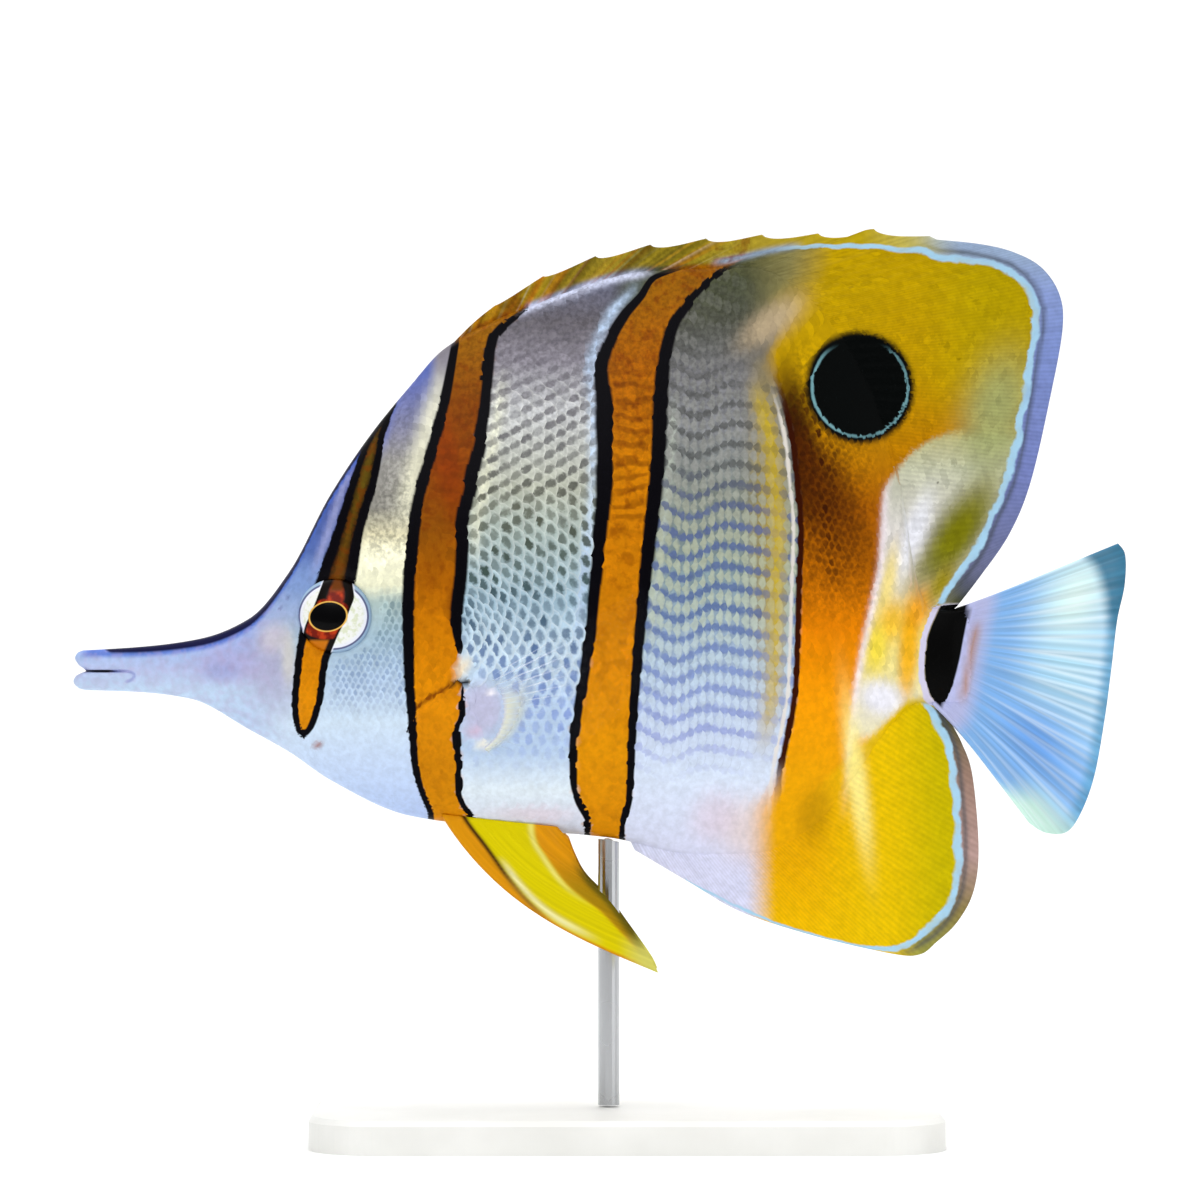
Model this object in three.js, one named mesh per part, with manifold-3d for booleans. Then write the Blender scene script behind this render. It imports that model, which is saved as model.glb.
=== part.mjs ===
// Copperband butterflyfish, a life-size still model on a plain display stand.
//
// Millimetres, +Z up. The fish faces -X and its left side faces -Y. The origin is on the floor, under the
// middle of the model's length. Outlines are written in the fish's own side view: the first number is the
// distance behind the tip of the lower lip, and the second is the height above the line of the mouth.

import * as THREE from "three";
import { mergeVertices } from "three/addons/utils/BufferGeometryUtils.js";
import Module from "manifold-3d";

const wasm = await Module();
wasm.setup();

// Driving dimensions
const TOTAL_LENGTH = 158;
const MOUTH_HEIGHT = 70.7;
const GAP = 0.3;
const RIM_HALF = 0.27;
const CREST_HALF = 1.1;

const JAW_LENGTH = 9.6;
const SNOUT_LENGTH = 24.3;
const TAIL_BASE_START = 127.1;
const FLESH_END = 136.4;

const EYE_AT = [39.3, 7.9];
const EYE_RADIUS = 5.3;
const EYE_BULGE = 1.4;
const EYE_DEPTH_HALF = 3.3;
const EYE_BALL_SHARE = 1.17;
const EYE_TURN = 0.17;
const NOSTRIL_RADIUS = 0.45;

const SPINE_COUNT = 9;
const DORSAL_RAYS = 29;
const ANAL_SPINES = 3;
const ANAL_RAYS = 20;
const TAIL_RAYS = 17;
const PECTORAL_RAYS = 14;
const PELVIC_RAYS = 6;
const RAY_HEIGHT = 0.2;
const SPINE_STOUT = 1.9;

const BASE_LENGTH = 94;
const BASE_DEPTH = 52;
const BASE_HEIGHT = 5;
const BASE_CORNER = 11;
const BASE_CHAMFER = 0.8;
const BASE_CENTRE = 4;
const ROD_RADIUS = 1.6;
const ROD_BEHIND_LIP = 80.3;

// Colours and finishes
const paint = (color, roughness) => new THREE.MeshStandardMaterial({ color, roughness, metalness: 0 });
const SKIN = paint(0xc9d2e4, 0.38);
const GILL = paint(0xd8862a, 0.4);
const EYE = paint(0xe9e6da, 0.12);
const SPINY = paint(0xb08a14, 0.45);
const FIN = paint(0xd9ad1a, 0.42);
const TAIL = paint(0x9cc4ea, 0.4);
const CLEAR_FIN = paint(0xd5def0, 0.3);
const STAND = paint(0xe6e6e2, 0.5);
const STEEL = new THREE.MeshStandardMaterial({ color: 0xb8babd, roughness: 0.28, metalness: 1 });

// Curves. A smooth line through a few points that never swings past them, as a height over a distance.
function smoothLine(points) {
  const steps = points.slice(1).map((p, i) => p[0] - points[i][0]);
  const rises = points.slice(1).map((p, i) => (p[1] - points[i][1]) / steps[i]);
  const slopes = points.map((p, i) => {
    if (i === 0) return rises[0];
    if (i === points.length - 1) return rises[i - 1];
    const [before, after] = [rises[i - 1], rises[i]];
    if (before * after <= 0) return 0;
    const [w1, w2] = [2 * steps[i] + steps[i - 1], steps[i] + 2 * steps[i - 1]];
    return (w1 + w2) / (w1 / before + w2 / after);
  });
  return (x) => {
    let i = 0;
    while (i < steps.length - 1 && x > points[i + 1][0]) i += 1;
    const t = THREE.MathUtils.clamp((x - points[i][0]) / steps[i], 0, 1);
    const [t2, t3] = [t * t, t * t * t];
    return (
      (2 * t3 - 3 * t2 + 1) * points[i][1] +
      (t3 - 2 * t2 + t) * steps[i] * slopes[i] +
      (3 * t2 - 2 * t3) * points[i + 1][1] +
      (t3 - t2) * steps[i] * slopes[i + 1]
    );
  };
}

// A rounded curve through points of the side view, read by its share of the length.
function sideCurve(points) {
  const curve = new THREE.SplineCurve(points.map((p) => new THREE.Vector2(...p)));
  return (t) => curve.getPointAt(THREE.MathUtils.clamp(t, 0, 1)).toArray();
}

const mix = THREE.MathUtils.lerp;
const mixPoint = (a, b, t) => a.map((v, k) => mix(v, b[k], t));
const inModel = (x, y, z) => [x - TOTAL_LENGTH / 2, y, z + MOUTH_HEIGHT];

// The flesh: its back and belly lines, the level where it is widest, and its half width there
const backLine = smoothLine([
  [-1, 2.7], [3, 2.9], [9.6, 3.25], [19, 4.5], [26.5, 7.6], [32.5, 14.7], [38.5, 26], [44.5, 35],
  [50.5, 42.4], [55.6, 48], [67.8, 54.2], [86.5, 59.8], [101.5, 60.4], [109, 57.4], [115.8, 50],
  [121, 39.5], [124.2, 28], [126, 16], [128.4, 9.2], [136.4, 9],
]);
const bellyLine = smoothLine([
  [-1, -3.2], [9.6, -3.5], [17.5, -4.5], [26.5, -9.2], [32.5, -12.6], [38.5, -16.7], [50.5, -22.1],
  [64, -23.9], [80.5, -25.4], [94, -28.2], [103, -28], [111.3, -24], [117.3, -16.6], [122.5, -9],
  [127, -5.2], [136.4, -5.6],
]);
const wideLevel = smoothLine([
  [-1, 0], [18, 0], [39, 6.4], [64, 11], [94, 11], [117, 7.4], [128, 2.1], [137, 2],
]);
const halfWidth = smoothLine([
  [-1, 1.5], [2, 1.9], [9.6, 2.2], [18, 2.8], [26, 4.5], [33, 6.2], [40, 7.6], [50, 9.2], [64, 10.5],
  [80, 10.6], [95, 9.6], [108, 7.5], [118, 5.2], [127, 3.3], [137, 2.4],
]);
// How full a section stays towards the back and the belly: 0.5 is an ellipse, and over 1 it flares
// into a fin. The crest is half the thickness left at the very edge.
const backFade = smoothLine([[20, 0.5], [45, 0.62], [60, 1.05], [118, 1.1], [130, 0.55]]);
const bellyFade = smoothLine([[20, 0.5], [60, 0.6], [80, 0.75], [92, 1.1], [118, 1.1], [130, 0.55]]);
const crestHalf = smoothLine([
  [0, 0.3], [20, 0.45], [50, 0.7], [62, CREST_HALF], [120, CREST_HALF], [132, 0.7],
]);
const SECTION_POWER = 2.3;

// Half the thickness of the flesh at a place in the side view
function fleshHalf(x, z) {
  const level = wideLevel(x);
  const above = z > level;
  const reach = above ? backLine(x) - level : level - bellyLine(x);
  const share = Math.min(Math.abs(z - level) / reach, 1);
  const fade = above ? backFade(x) : bellyFade(x);
  const crest = crestHalf(x);
  return crest + (halfWidth(x) - crest) * Math.pow(1 - Math.pow(share, SECTION_POWER), fade);
}

// Closed meshes. Indices are turned round where a shape came out inside out.
function closedGeometry(points, faces) {
  const place = new Float32Array(points.flat());
  let volume = 0;
  for (const [a, b, c] of faces) {
    const [p, q, r] = [a, b, c].map((k) => new THREE.Vector3(...points[k]));
    volume += p.dot(q.cross(r));
  }
  const order = faces.flatMap(([a, b, c]) => (volume < 0 ? [a, c, b] : [a, b, c]));
  const geometry = new THREE.BufferGeometry();
  geometry.setAttribute("position", new THREE.BufferAttribute(place, 3));
  geometry.setIndex(order);
  return geometry;
}

function toSolid(geometry) {
  const bare = geometry.clone();
  for (const name of Object.keys(bare.attributes)) if (name !== "position") bare.deleteAttribute(name);
  const merged = mergeVertices(bare, 1e-4);
  return new wasm.Manifold(
    new wasm.Mesh({
      numProp: 3,
      vertProperties: merged.attributes.position.array,
      triVerts: new Uint32Array(merged.index.array),
    }),
  );
}

function toGeometry(solid) {
  const mesh = solid.getMesh();
  const geometry = new THREE.BufferGeometry();
  geometry.setAttribute("position", new THREE.BufferAttribute(new Float32Array(mesh.vertProperties), 3));
  geometry.setIndex(new THREE.BufferAttribute(new Uint32Array(mesh.triVerts), 1));
  return geometry;
}

const join = (solids) => solids.reduce((all, one) => all.add(one));
const largest = (solid) => solid.decompose().sort((a, b) => b.volume() - a.volume())[0];

// A loft through matching rings. Each ring lists one side upwards and then the other side downwards.
function loft(rings) {
  const count = rings[0].length;
  const points = rings.flat();
  const faces = [];
  for (let i = 0; i < rings.length - 1; i += 1) {
    for (let k = 0; k < count; k += 1) {
      const [a, b] = [i * count + k, i * count + ((k + 1) % count)];
      faces.push([a, b, b + count], [a, b + count, a + count]);
    }
  }
  for (const [first, flip] of [[0, true], [(rings.length - 1) * count, false]]) {
    for (let k = 0; k < count / 2 - 1; k += 1) {
      const [a, b, c, d] = [k, k + 1, count - 2 - k, count - 1 - k].map((n) => first + n);
      for (const [p, q, r] of [[a, b, c], [a, c, d]]) faces.push(flip ? [p, r, q] : [p, q, r]);
    }
  }
  return closedGeometry(points, faces);
}

// The whole flesh from lips to tail root, made thicker all round by grow
const SIDE_STEPS = 11;
const STATIONS = 46;
function flesh(grow = 0, from = 0, to = FLESH_END) {
  const rings = [];
  for (let i = 0; i <= STATIONS; i += 1) {
    const x = mix(from, to, i / STATIONS);
    const [top, low] = [backLine(x), bellyLine(x)];
    const side = [];
    for (let k = 0; k <= SIDE_STEPS; k += 1) {
      const up = Math.sin(mix(-Math.PI / 2, Math.PI / 2, k / SIDE_STEPS));
      const level = wideLevel(x);
      const z = up > 0 ? mix(level, top, up) : mix(level, low, -up);
      side.push([fleshHalf(x, z) + grow, z + grow * up]);
    }
    rings.push([
      ...side.map(([y, z]) => inModel(x, -y, z)),
      ...side.reverse().map(([y, z]) => inModel(x, y, z)),
    ]);
  }
  return toSolid(loft(rings));
}

// A block whose side view is an outline, from y = near to y = far
const CLEAR = 40;
function block(outline, near = -CLEAR, far = CLEAR) {
  const corners = outline.map(([x, z]) => new THREE.Vector2(x - TOTAL_LENGTH / 2, z + MOUTH_HEIGHT));
  const shape = new THREE.Shape(corners);
  const geometry = new THREE.ExtrudeGeometry(shape, { depth: far - near, bevelEnabled: false });
  geometry.rotateX(Math.PI / 2);
  geometry.translate(0, far, 0);
  return toSolid(geometry);
}

// A line of points moved sideways by a distance, to the right of its own direction
function shiftLine(points, distance) {
  return points.map((p, i) => {
    const before = points[Math.max(i - 1, 0)];
    const after = points[Math.min(i + 1, points.length - 1)];
    const along = new THREE.Vector2(after[0] - before[0], after[1] - before[1]).normalize();
    return [p[0] + along.y * distance, p[1] - along.x * distance];
  });
}

// A closed outline made smaller by a distance, or larger where it is negative. It runs clockwise.
function insetLoop(points, distance) {
  const side = (a, b) => new THREE.Vector2(b[1] - a[1], a[0] - b[0]).normalize();
  return points.map((p, i) => {
    const before = side(points.at(i - 1), p);
    const after = side(p, points[(i + 1) % points.length]);
    const reach = distance / Math.max(1 + before.dot(after), 0.4);
    return [p[0] + (before.x + after.x) * reach, p[1] + (before.y + after.y) * reach];
  });
}

const curvePoints = (points, count) => {
  const at = sideCurve(points);
  return Array.from({ length: count + 1 }, (_, i) => at(i / count));
};

// The line that parts head from trunk: down from the nape, along the gill cover's rear edge, to the throat
const NAPE_TO_GILL = [[54.6, 52], [53.6, 40], [52.6, 28], [53.6, 17.5]];
const GILL_REAR = [[53.6, 17.5], [58, 9], [59.8, 2], [60.2, -0.6], [56.2, -4], [52.2, -6.4], [49.4, -10.3],
  [45.5, -14], [39.5, -16]];
const partingLine = [
  ...curvePoints(NAPE_TO_GILL, 4),
  ...curvePoints(GILL_REAR, 18).slice(1),
  [37, -22],
];
const GILL_FRONT = [[39.5, -16], [42.5, -11.5], [45.4, -5], [46.8, 2], [47.6, 9.5], [49.6, 15.6],
  [53.6, 17.5]];
const GILL_OUTLINE = [...curvePoints(GILL_REAR, 18), ...curvePoints(GILL_FRONT, 10).slice(1, -1)];

// Mouth: the outlines of the two jaws, with rounded lips and a narrow slit between them
const UPPER_LIP = [[JAW_LENGTH, -0.3], [5, -0.3], [2.3, -0.2], [0.9, 0.55], [0.25, 1.6], [0.8, 2.6],
  [3, 4]];
const LOWER_LIP = [[3, -4.2], [0.9, -3.1], [0, -1.9], [0.5, -1.05], [1.8, -0.6], [5.5, -0.6], [8, -0.75],
  [9.1, -1.6]];

function bodySolids() {
  const whole = flesh();
  const front = shiftLine(partingLine, GAP / 2);
  const rear = shiftLine(partingLine, -GAP / 2);
  const [low, high, rearmost] = [-CLEAR, 2 * CLEAR, TOTAL_LENGTH + CLEAR];
  const inFront = [[-CLEAR, low], [-CLEAR, high]];
  const headSide = whole.intersect(block([...inFront, ...front]));
  const trunk = whole.subtract(block([...inFront, ...rear]));
  const beyond = (x) => block([[x, low], [x, high], [rearmost, high], [rearmost, low]]);
  const upTo = (x) => block([...inFront, [x, high], [x, low]]);
  const upper = block([[JAW_LENGTH, 5], ...curvePoints(UPPER_LIP, 14)]);
  const lower = block([...curvePoints(LOWER_LIP, 16), [JAW_LENGTH, -1.9], [JAW_LENGTH, -5]]);
  const tailEnd = block([[rearmost, 9.7], [134.1, 9.7], [130, -6.5], [rearmost, -6.5]]);
  return {
    upper_jaw: headSide.intersect(upper),
    lower_jaw: headSide.intersect(lower),
    snout: headSide.intersect(beyond(JAW_LENGTH + GAP)).intersect(upTo(SNOUT_LENGTH)),
    head: headSide.intersect(beyond(SNOUT_LENGTH + GAP)),
    torso: trunk.intersect(upTo(TAIL_BASE_START)),
    tail_base: trunk.intersect(beyond(TAIL_BASE_START + GAP)).subtract(tailEnd),
  };
}

// Eyes: a flattened ball turned to face along the cheek, and the socket that holds it
function eyeBall(side, grow = 0) {
  const wide = EYE_RADIUS * EYE_BALL_SHARE + grow;
  const ball = new THREE.SphereGeometry(1, 20, 12);
  ball.scale(wide, EYE_DEPTH_HALF + grow, wide);
  ball.rotateZ(side * EYE_TURN);
  const out = fleshHalf(...EYE_AT) + EYE_BULGE - EYE_DEPTH_HALF;
  ball.translate(...inModel(EYE_AT[0], side * out, EYE_AT[1]));
  return toSolid(ball);
}

// The raised rim of skin round the eye
const ORBIT_RIM_RADIUS = 0.6;
const ORBIT_RIM_SUNK = 0.15;
function orbitRim(side) {
  const rim = new THREE.TorusGeometry(EYE_RADIUS + 0.75, ORBIT_RIM_RADIUS, 6, 24);
  rim.rotateX(Math.PI / 2);
  rim.rotateZ(side * EYE_TURN);
  rim.translate(...inModel(EYE_AT[0], side * (fleshHalf(...EYE_AT) - ORBIT_RIM_SUNK), EYE_AT[1]));
  return toSolid(rim);
}

const NOSTRILS_AT = [[32.4, 10.6], [31.5, 9.2]];
function nostrils(side) {
  return join(
    NOSTRILS_AT.map(([x, z]) => {
      const pit = new THREE.CylinderGeometry(NOSTRIL_RADIUS, NOSTRIL_RADIUS, 2, 8);
      pit.translate(...inModel(x, side * fleshHalf(x, z), z));
      return toSolid(pit);
    }),
  );
}

// Gill cover: a curved plate in a shallow bed, standing slightly proud of the cheek
const GILL_PROUD = 0.35;
const GILL_THICK = 1;
function gillCover(side, proud, deep) {
  const oneSide = side < 0 ? [-CLEAR, 0] : [0, CLEAR];
  return proud.subtract(deep).intersect(block(insetLoop(GILL_OUTLINE, GAP / 2), ...oneSide));
}

// A fin blade. root and edge give the side view of each column's ends, middle gives the distance from the
// fish's mid-plane, and half gives half the thickness. Even columns are membrane and odd ones are rays.
function blade({ columns, rows, at, middle, half }) {
  const points = [];
  for (const face of [-1, 1]) {
    for (let i = 0; i < columns; i += 1) {
      for (let j = 0; j < rows; j += 1) {
        const [across, out] = [i / (columns - 1), j / (rows - 1)];
        const [x, z] = at(across, out, i);
        points.push(inModel(x, middle(across, out, x, z) + face * half(across, out, i), z));
      }
    }
  }
  const faces = [];
  const other = columns * rows;
  for (let i = 0; i < columns - 1; i += 1) {
    for (let j = 0; j < rows - 1; j += 1) {
      const [a, b, c, d] = [i * rows + j, i * rows + j + 1, (i + 1) * rows + j + 1, (i + 1) * rows + j];
      faces.push([a, b, c], [a, c, d]);
      faces.push([other + a, other + c, other + b], [other + a, other + d, other + c]);
    }
  }
  const rim = [];
  for (let j = 0; j < rows; j += 1) rim.push(j);
  for (let i = 1; i < columns; i += 1) rim.push(i * rows + rows - 1);
  for (let j = rows - 2; j >= 0; j -= 1) rim.push((columns - 1) * rows + j);
  for (let i = columns - 2; i > 0; i -= 1) rim.push(i * rows);
  rim.forEach((a, k) => {
    const b = rim[(k + 1) % rim.length];
    faces.push([a, other + b, b], [a, other + a, other + b]);
  });
  return closedGeometry(points, faces);
}

const rayHeight = (i, out) => (i % 2 ? RAY_HEIGHT * (1 - 0.55 * out) : 0);
const taper = (rootHalf, out) => mix(rootHalf, RIM_HALF, Math.pow(out, 0.7));
const flat = () => 0;

// A fin's root along the back or belly line, sunk a little way in. The flesh is cut from it afterwards.
const ROOT_SUNK = 0.5;
const alongBody = (line, from, to, inward) => (t) => {
  const x = mix(from, to, t);
  return [x, line(x) + inward * ROOT_SUNK];
};

// Spiny part of the dorsal fin, folded low along the back, each spine's tip standing a little over the
// membrane behind it
const SPINY_ROOT = [55.6, 103.6];
const SPINY_EDGE = [[57, 48.9], [62, 53.6], [72, 59.6], [84, 63.2], [101, 65], [116, 65.4], [119.6, 66],
  [128.4, 64.9]];
const SPINE_NOTCH = 0.8;
function spinyDorsal() {
  const root = alongBody(backLine, ...SPINY_ROOT, -1);
  const edge = sideCurve(SPINY_EDGE);
  const tip = (across, i) => {
    const [x, z] = edge(across);
    return [x, z - (i % 2 || across === 1 ? 0 : Math.min(SPINE_NOTCH, 0.3 * across * SPINE_COUNT))];
  };
  return blade({
    columns: 2 * SPINE_COUNT + 1,
    rows: 4,
    at: (across, out, i) => mixPoint(root(across), tip(across, i), out),
    middle: flat,
    half: (across, out, i) => taper(mix(0.7, 1, across), out) + SPINE_STOUT * rayHeight(i, out),
  });
}

// Soft part of the dorsal fin, a broad rounded sail that runs back over the tail root
const SOFT_ROOT = [104.2, 127.2];
const SOFT_EDGE = [[129.2, 64.4], [136, 63.7], [141, 62.5], [145.2, 60.2], [147.9, 56.2], [148.4, 51],
  [146.6, 41], [143.6, 28], [140.4, 20.2], [136, 13.8], [132.8, 10.2]];
function softDorsal() {
  const root = alongBody(backLine, ...SOFT_ROOT, -1);
  const edge = sideCurve(SOFT_EDGE);
  return blade({
    columns: 2 * DORSAL_RAYS + 1,
    rows: 8,
    at: (across, out) => mixPoint(root(Math.pow(across, 0.8)), edge(across), out),
    middle: flat,
    half: (across, out, i) => taper(1, out) + rayHeight(i, out),
  });
}

// Anal fin: three stout spines lie along its front edge, and the rays reach a rounded rear edge.
const ANAL_ROOT = [83.2, 127];
const ANAL_EDGE = [[85, -27.9], [92.5, -32.1], [100, -36.4], [110.5, -39.9], [122.5, -42.7], [126.9, -42.9],
  [129.5, -41], [132.6, -38], [135, -33.5], [135.8, -27], [134.9, -16.2], [133.2, -11], [130.9, -6.9]];
function analFin() {
  const root = alongBody(bellyLine, ...ANAL_ROOT, 1);
  const edge = sideCurve(ANAL_EDGE);
  const columns = 2 * (ANAL_SPINES + ANAL_RAYS) + 1;
  return blade({
    columns,
    rows: 7,
    at: (across, out) => mixPoint(root(across), edge(across), out),
    middle: flat,
    half: (across, out, i) => taper(1, out) + rayHeight(i, out) * (i < 2 * ANAL_SPINES ? SPINE_STOUT : 1),
  });
}

// Tail fin: a fan from the slanted end of the tail root, its upper corner sharper than the lower
const TAIL_ROOT = [[134.6, 9.1], [132.5, 2.2], [130.9, -5.4]];
const TAIL_EDGE = [[156.7, 18.8], [157.8, 17], [157.7, 12.5], [156.6, 7.3], [155.7, -0.1], [154.7, -7.6],
  [153.2, -15.9], [151.2, -21.5], [149, -24.5], [145.8, -24.6], [143.4, -23.2]];
function tailFin() {
  const root = sideCurve(TAIL_ROOT);
  const edge = sideCurve(TAIL_EDGE);
  const [upperBow, lowerBow] = [0.2, -0.5];
  return blade({
    columns: 2 * TAIL_RAYS + 1,
    rows: 8,
    at: (across, out) => {
      const [x, z] = mixPoint(root(across), edge(across), out);
      return [x, z + Math.sin(Math.PI * out) * mix(upperBow, lowerBow, across)];
    },
    middle: flat,
    half: (across, out, i) => taper(mix(1.6, 1.2, Math.abs(2 * across - 1)), out) + rayHeight(i, out),
  });
}

// Pelvic fin: a stout spine in front, the rays ending along the rear edge, swept back to one point
const PELVIC_ROOT = [[55.2, -21.7], [72.6, -23.6]];
const PELVIC_EDGE = [[87.7, -45.3], [86.6, -43.1], [83, -38], [80.5, -34.6], [76.9, -30.9], [75.3, -28],
  [74.3, -25.4]];
const PELVIC_OFF_MIDDLE = [2.3, 5.6];
function pelvicFin(side) {
  const edge = sideCurve(PELVIC_EDGE);
  const bow = 3.7;
  return blade({
    columns: 2 * PELVIC_RAYS + 1,
    rows: 8,
    at: (across, out) => {
      const [x, z] = mixPoint(mixPoint(...PELVIC_ROOT, across), edge(across), out);
      const swell = bow * Math.sin(Math.PI * Math.pow(out, 0.85)) * Math.pow(1 - across, 1.5);
      return [x - 0.58 * swell, z - 0.81 * swell];
    },
    middle: (across, out) => side * mix(...PELVIC_OFF_MIDDLE, Math.pow(out, 1.2)),
    half: (across, out, i) => taper(0.9, out) + rayHeight(i, out) * (i < 2 ? SPINE_STOUT : 1),
  });
}

// Pectoral fin: a clear fan from a short fleshy root behind the gill cover, held a little off the flank
const PECTORAL_ROOT = [[62.6, -2.9], [61.8, -10.2]];
const PECTORAL_EDGE = [[85.3, 12.1], [87.2, 7.6], [86.4, 1.2], [82.8, -5], [77.6, -9.9], [70.8, -13.2],
  [65, -14.4]];
const PECTORAL_SPREAD = 7;
const PECTORAL_ROOT_HALF = 0.9;
function pectoralFin(side) {
  const edge = sideCurve(PECTORAL_EDGE);
  return blade({
    columns: 2 * PECTORAL_RAYS + 1,
    rows: 7,
    at: (across, out) => mixPoint(mixPoint(...PECTORAL_ROOT, across), edge(across), out),
    middle: (across, out) => {
      const [x, z] = mixPoint(mixPoint(...PECTORAL_ROOT, across), edge(across), out);
      return side * (fleshHalf(x, z) - ROOT_SUNK + PECTORAL_SPREAD * out);
    },
    half: (across, out, i) => taper(PECTORAL_ROOT_HALF, out) + rayHeight(i, out),
  });
}

// Display stand: a rounded base and one rod, hollowed at its head to the belly
function standBase() {
  const [w, d] = [BASE_LENGTH / 2 - BASE_CORNER, BASE_DEPTH / 2 - BASE_CORNER];
  const outline = new THREE.Shape();
  for (const [k, x, y] of [[0, w, d], [1, -w, d], [2, -w, -d], [3, w, -d]]) {
    outline.absarc(x, y, BASE_CORNER, (k * Math.PI) / 2, ((k + 1) * Math.PI) / 2);
  }
  const plate = new THREE.ExtrudeGeometry(outline, {
    depth: BASE_HEIGHT - BASE_CHAMFER,
    bevelThickness: BASE_CHAMFER,
    bevelSize: BASE_CHAMFER,
    bevelOffset: -BASE_CHAMFER,
    bevelSegments: 1,
    curveSegments: 7,
  });
  plate.translate(BASE_CENTRE, 0, 0);
  const underFloor = new THREE.BoxGeometry(2 * BASE_LENGTH, 2 * BASE_DEPTH, 2 * BASE_CHAMFER);
  underFloor.translate(BASE_CENTRE, 0, -BASE_CHAMFER);
  return toSolid(plate).subtract(toSolid(underFloor));
}

function standRod(bodyWithGap) {
  const top = bellyLine(ROD_BEHIND_LIP) + MOUTH_HEIGHT + 1.5;
  const bottom = BASE_HEIGHT + GAP;
  const rod = new THREE.CylinderGeometry(ROD_RADIUS, ROD_RADIUS, top - bottom, 20);
  rod.rotateX(Math.PI / 2);
  rod.translate(ROD_BEHIND_LIP - TOTAL_LENGTH / 2, 0, (top + bottom) / 2);
  return toSolid(rod).subtract(bodyWithGap);
}

// Assembly
const fish = new THREE.Group();
fish.name = "copperband_butterflyfish";
const place = (name, solid, material) => {
  const mesh = new THREE.Mesh(toGeometry(largest(solid)), material);
  mesh.name = name;
  fish.add(mesh);
};

const withGap = flesh(GAP);
const proud = flesh(GILL_PROUD, 30, 70);
const deep = flesh(GILL_PROUD - GILL_THICK, 30, 70);
const bed = flesh(GILL_PROUD - GILL_THICK - GAP, 29, 71);
const sides = [["left", -1], ["right", 1]];

const body = bodySolids();
const bedOutline = block(insetLoop(GILL_OUTLINE, -GAP / 2));
const sockets = join(sides.map(([, side]) => eyeBall(side, GAP)));
body.head = body.head
  .add(join(sides.map(([, side]) => orbitRim(side))))
  .subtract(join(sides.map(([, side]) => nostrils(side))))
  .subtract(sockets)
  .subtract(bedOutline.subtract(bed));
for (const [name, solid] of Object.entries(body)) place(name, solid, SKIN);

for (const [name, side] of sides) {
  place(`eye_${name}`, eyeBall(side), EYE);
  place(`gill_cover_${name}`, gillCover(side, proud, deep), GILL);
  place(`pectoral_fin_${name}`, toSolid(pectoralFin(side)).subtract(withGap), CLEAR_FIN);
  place(`pelvic_fin_${name}`, toSolid(pelvicFin(side)).subtract(withGap), FIN);
}
place("dorsal_fin_spiny", toSolid(spinyDorsal()).subtract(withGap), SPINY);
place("dorsal_fin_soft", toSolid(softDorsal()).subtract(withGap), FIN);
place("anal_fin", toSolid(analFin()).subtract(withGap), FIN);
place("tail_fin", toSolid(tailFin()), TAIL);
place("stand_base", standBase(), STAND);
place("stand_rod", standRod(withGap), STEEL);

export default fish;
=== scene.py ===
# %% [markdown]
# A copperband butterflyfish as a still museum model, dressed over its solids. The solids give every piece
# its size and place. This file gives the fish its skin, scales, fin rays, eyes and markings, the stand its
# finish, and the picture its light and camera.

import bmesh
import bpy
import numpy as np
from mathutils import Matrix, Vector


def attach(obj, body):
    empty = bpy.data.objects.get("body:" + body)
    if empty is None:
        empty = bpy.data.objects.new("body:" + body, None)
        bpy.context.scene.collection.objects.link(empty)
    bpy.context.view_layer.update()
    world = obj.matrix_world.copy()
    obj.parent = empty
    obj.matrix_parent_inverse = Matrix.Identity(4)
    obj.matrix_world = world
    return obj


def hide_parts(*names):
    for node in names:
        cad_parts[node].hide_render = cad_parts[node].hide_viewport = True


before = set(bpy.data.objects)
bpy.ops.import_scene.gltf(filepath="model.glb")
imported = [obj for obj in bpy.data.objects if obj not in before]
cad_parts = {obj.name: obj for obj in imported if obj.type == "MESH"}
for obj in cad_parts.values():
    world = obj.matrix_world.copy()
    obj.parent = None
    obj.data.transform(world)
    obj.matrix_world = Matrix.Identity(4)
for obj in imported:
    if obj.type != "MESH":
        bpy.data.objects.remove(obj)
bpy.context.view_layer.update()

# %% [markdown]
# The fish is drawn in its side view, as a naturalist would: in millimetres behind the lower lip's tip, and
# in millimetres above the mouth line. One helper turns such a place into metres in the model's frame. The
# other way would be to write every number in metres, which hides what a body line looks like.

# %% Driving sizes and the side view
MM = 0.001
TOTAL_LENGTH = 0.158
MOUTH_HEIGHT = 0.0707
FLESH_END = 136.4
COAT_DEPTH = 0.12
SIDES = (("left", -1), ("right", 1))


def in_model(x, y, z):
    """Metres in the frame from millimetres in the side view: (x - length / 2, y, z + mouth height)."""
    return np.stack([x * MM - TOTAL_LENGTH / 2, y * MM, z * MM + MOUTH_HEIGHT], axis=-1)


rng = np.random.default_rng(7)


def step(value, low, high):
    """Smooth step from 0 at low to 1 at high: 3 t^2 - 2 t^3 of the clamped share t."""
    t = np.clip((value - low) / (high - low), 0, 1)
    return t * t * (3 - 2 * t)


def fade(value, low, high):
    """1 up to low and 0 from high on: 1 - step."""
    return 1 - step(value, low, high)


def window(value, low, full, easing, high):
    """0 outside low and high, and 1 from full to easing: step times fade."""
    return step(value, low, full) * fade(value, easing, high)


def soft_line(value, centre, width):
    """1 at the centre and soft to both sides: exp(-((value - centre) / width)^2)."""
    return np.exp(-(((value - centre) / width) ** 2))


def blend(a, b, share):
    """a (1 - share) + b share."""
    return a + (b - a) * share


print("one millimetre is", MM, "m, and the fish is", TOTAL_LENGTH, "m long")

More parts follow.
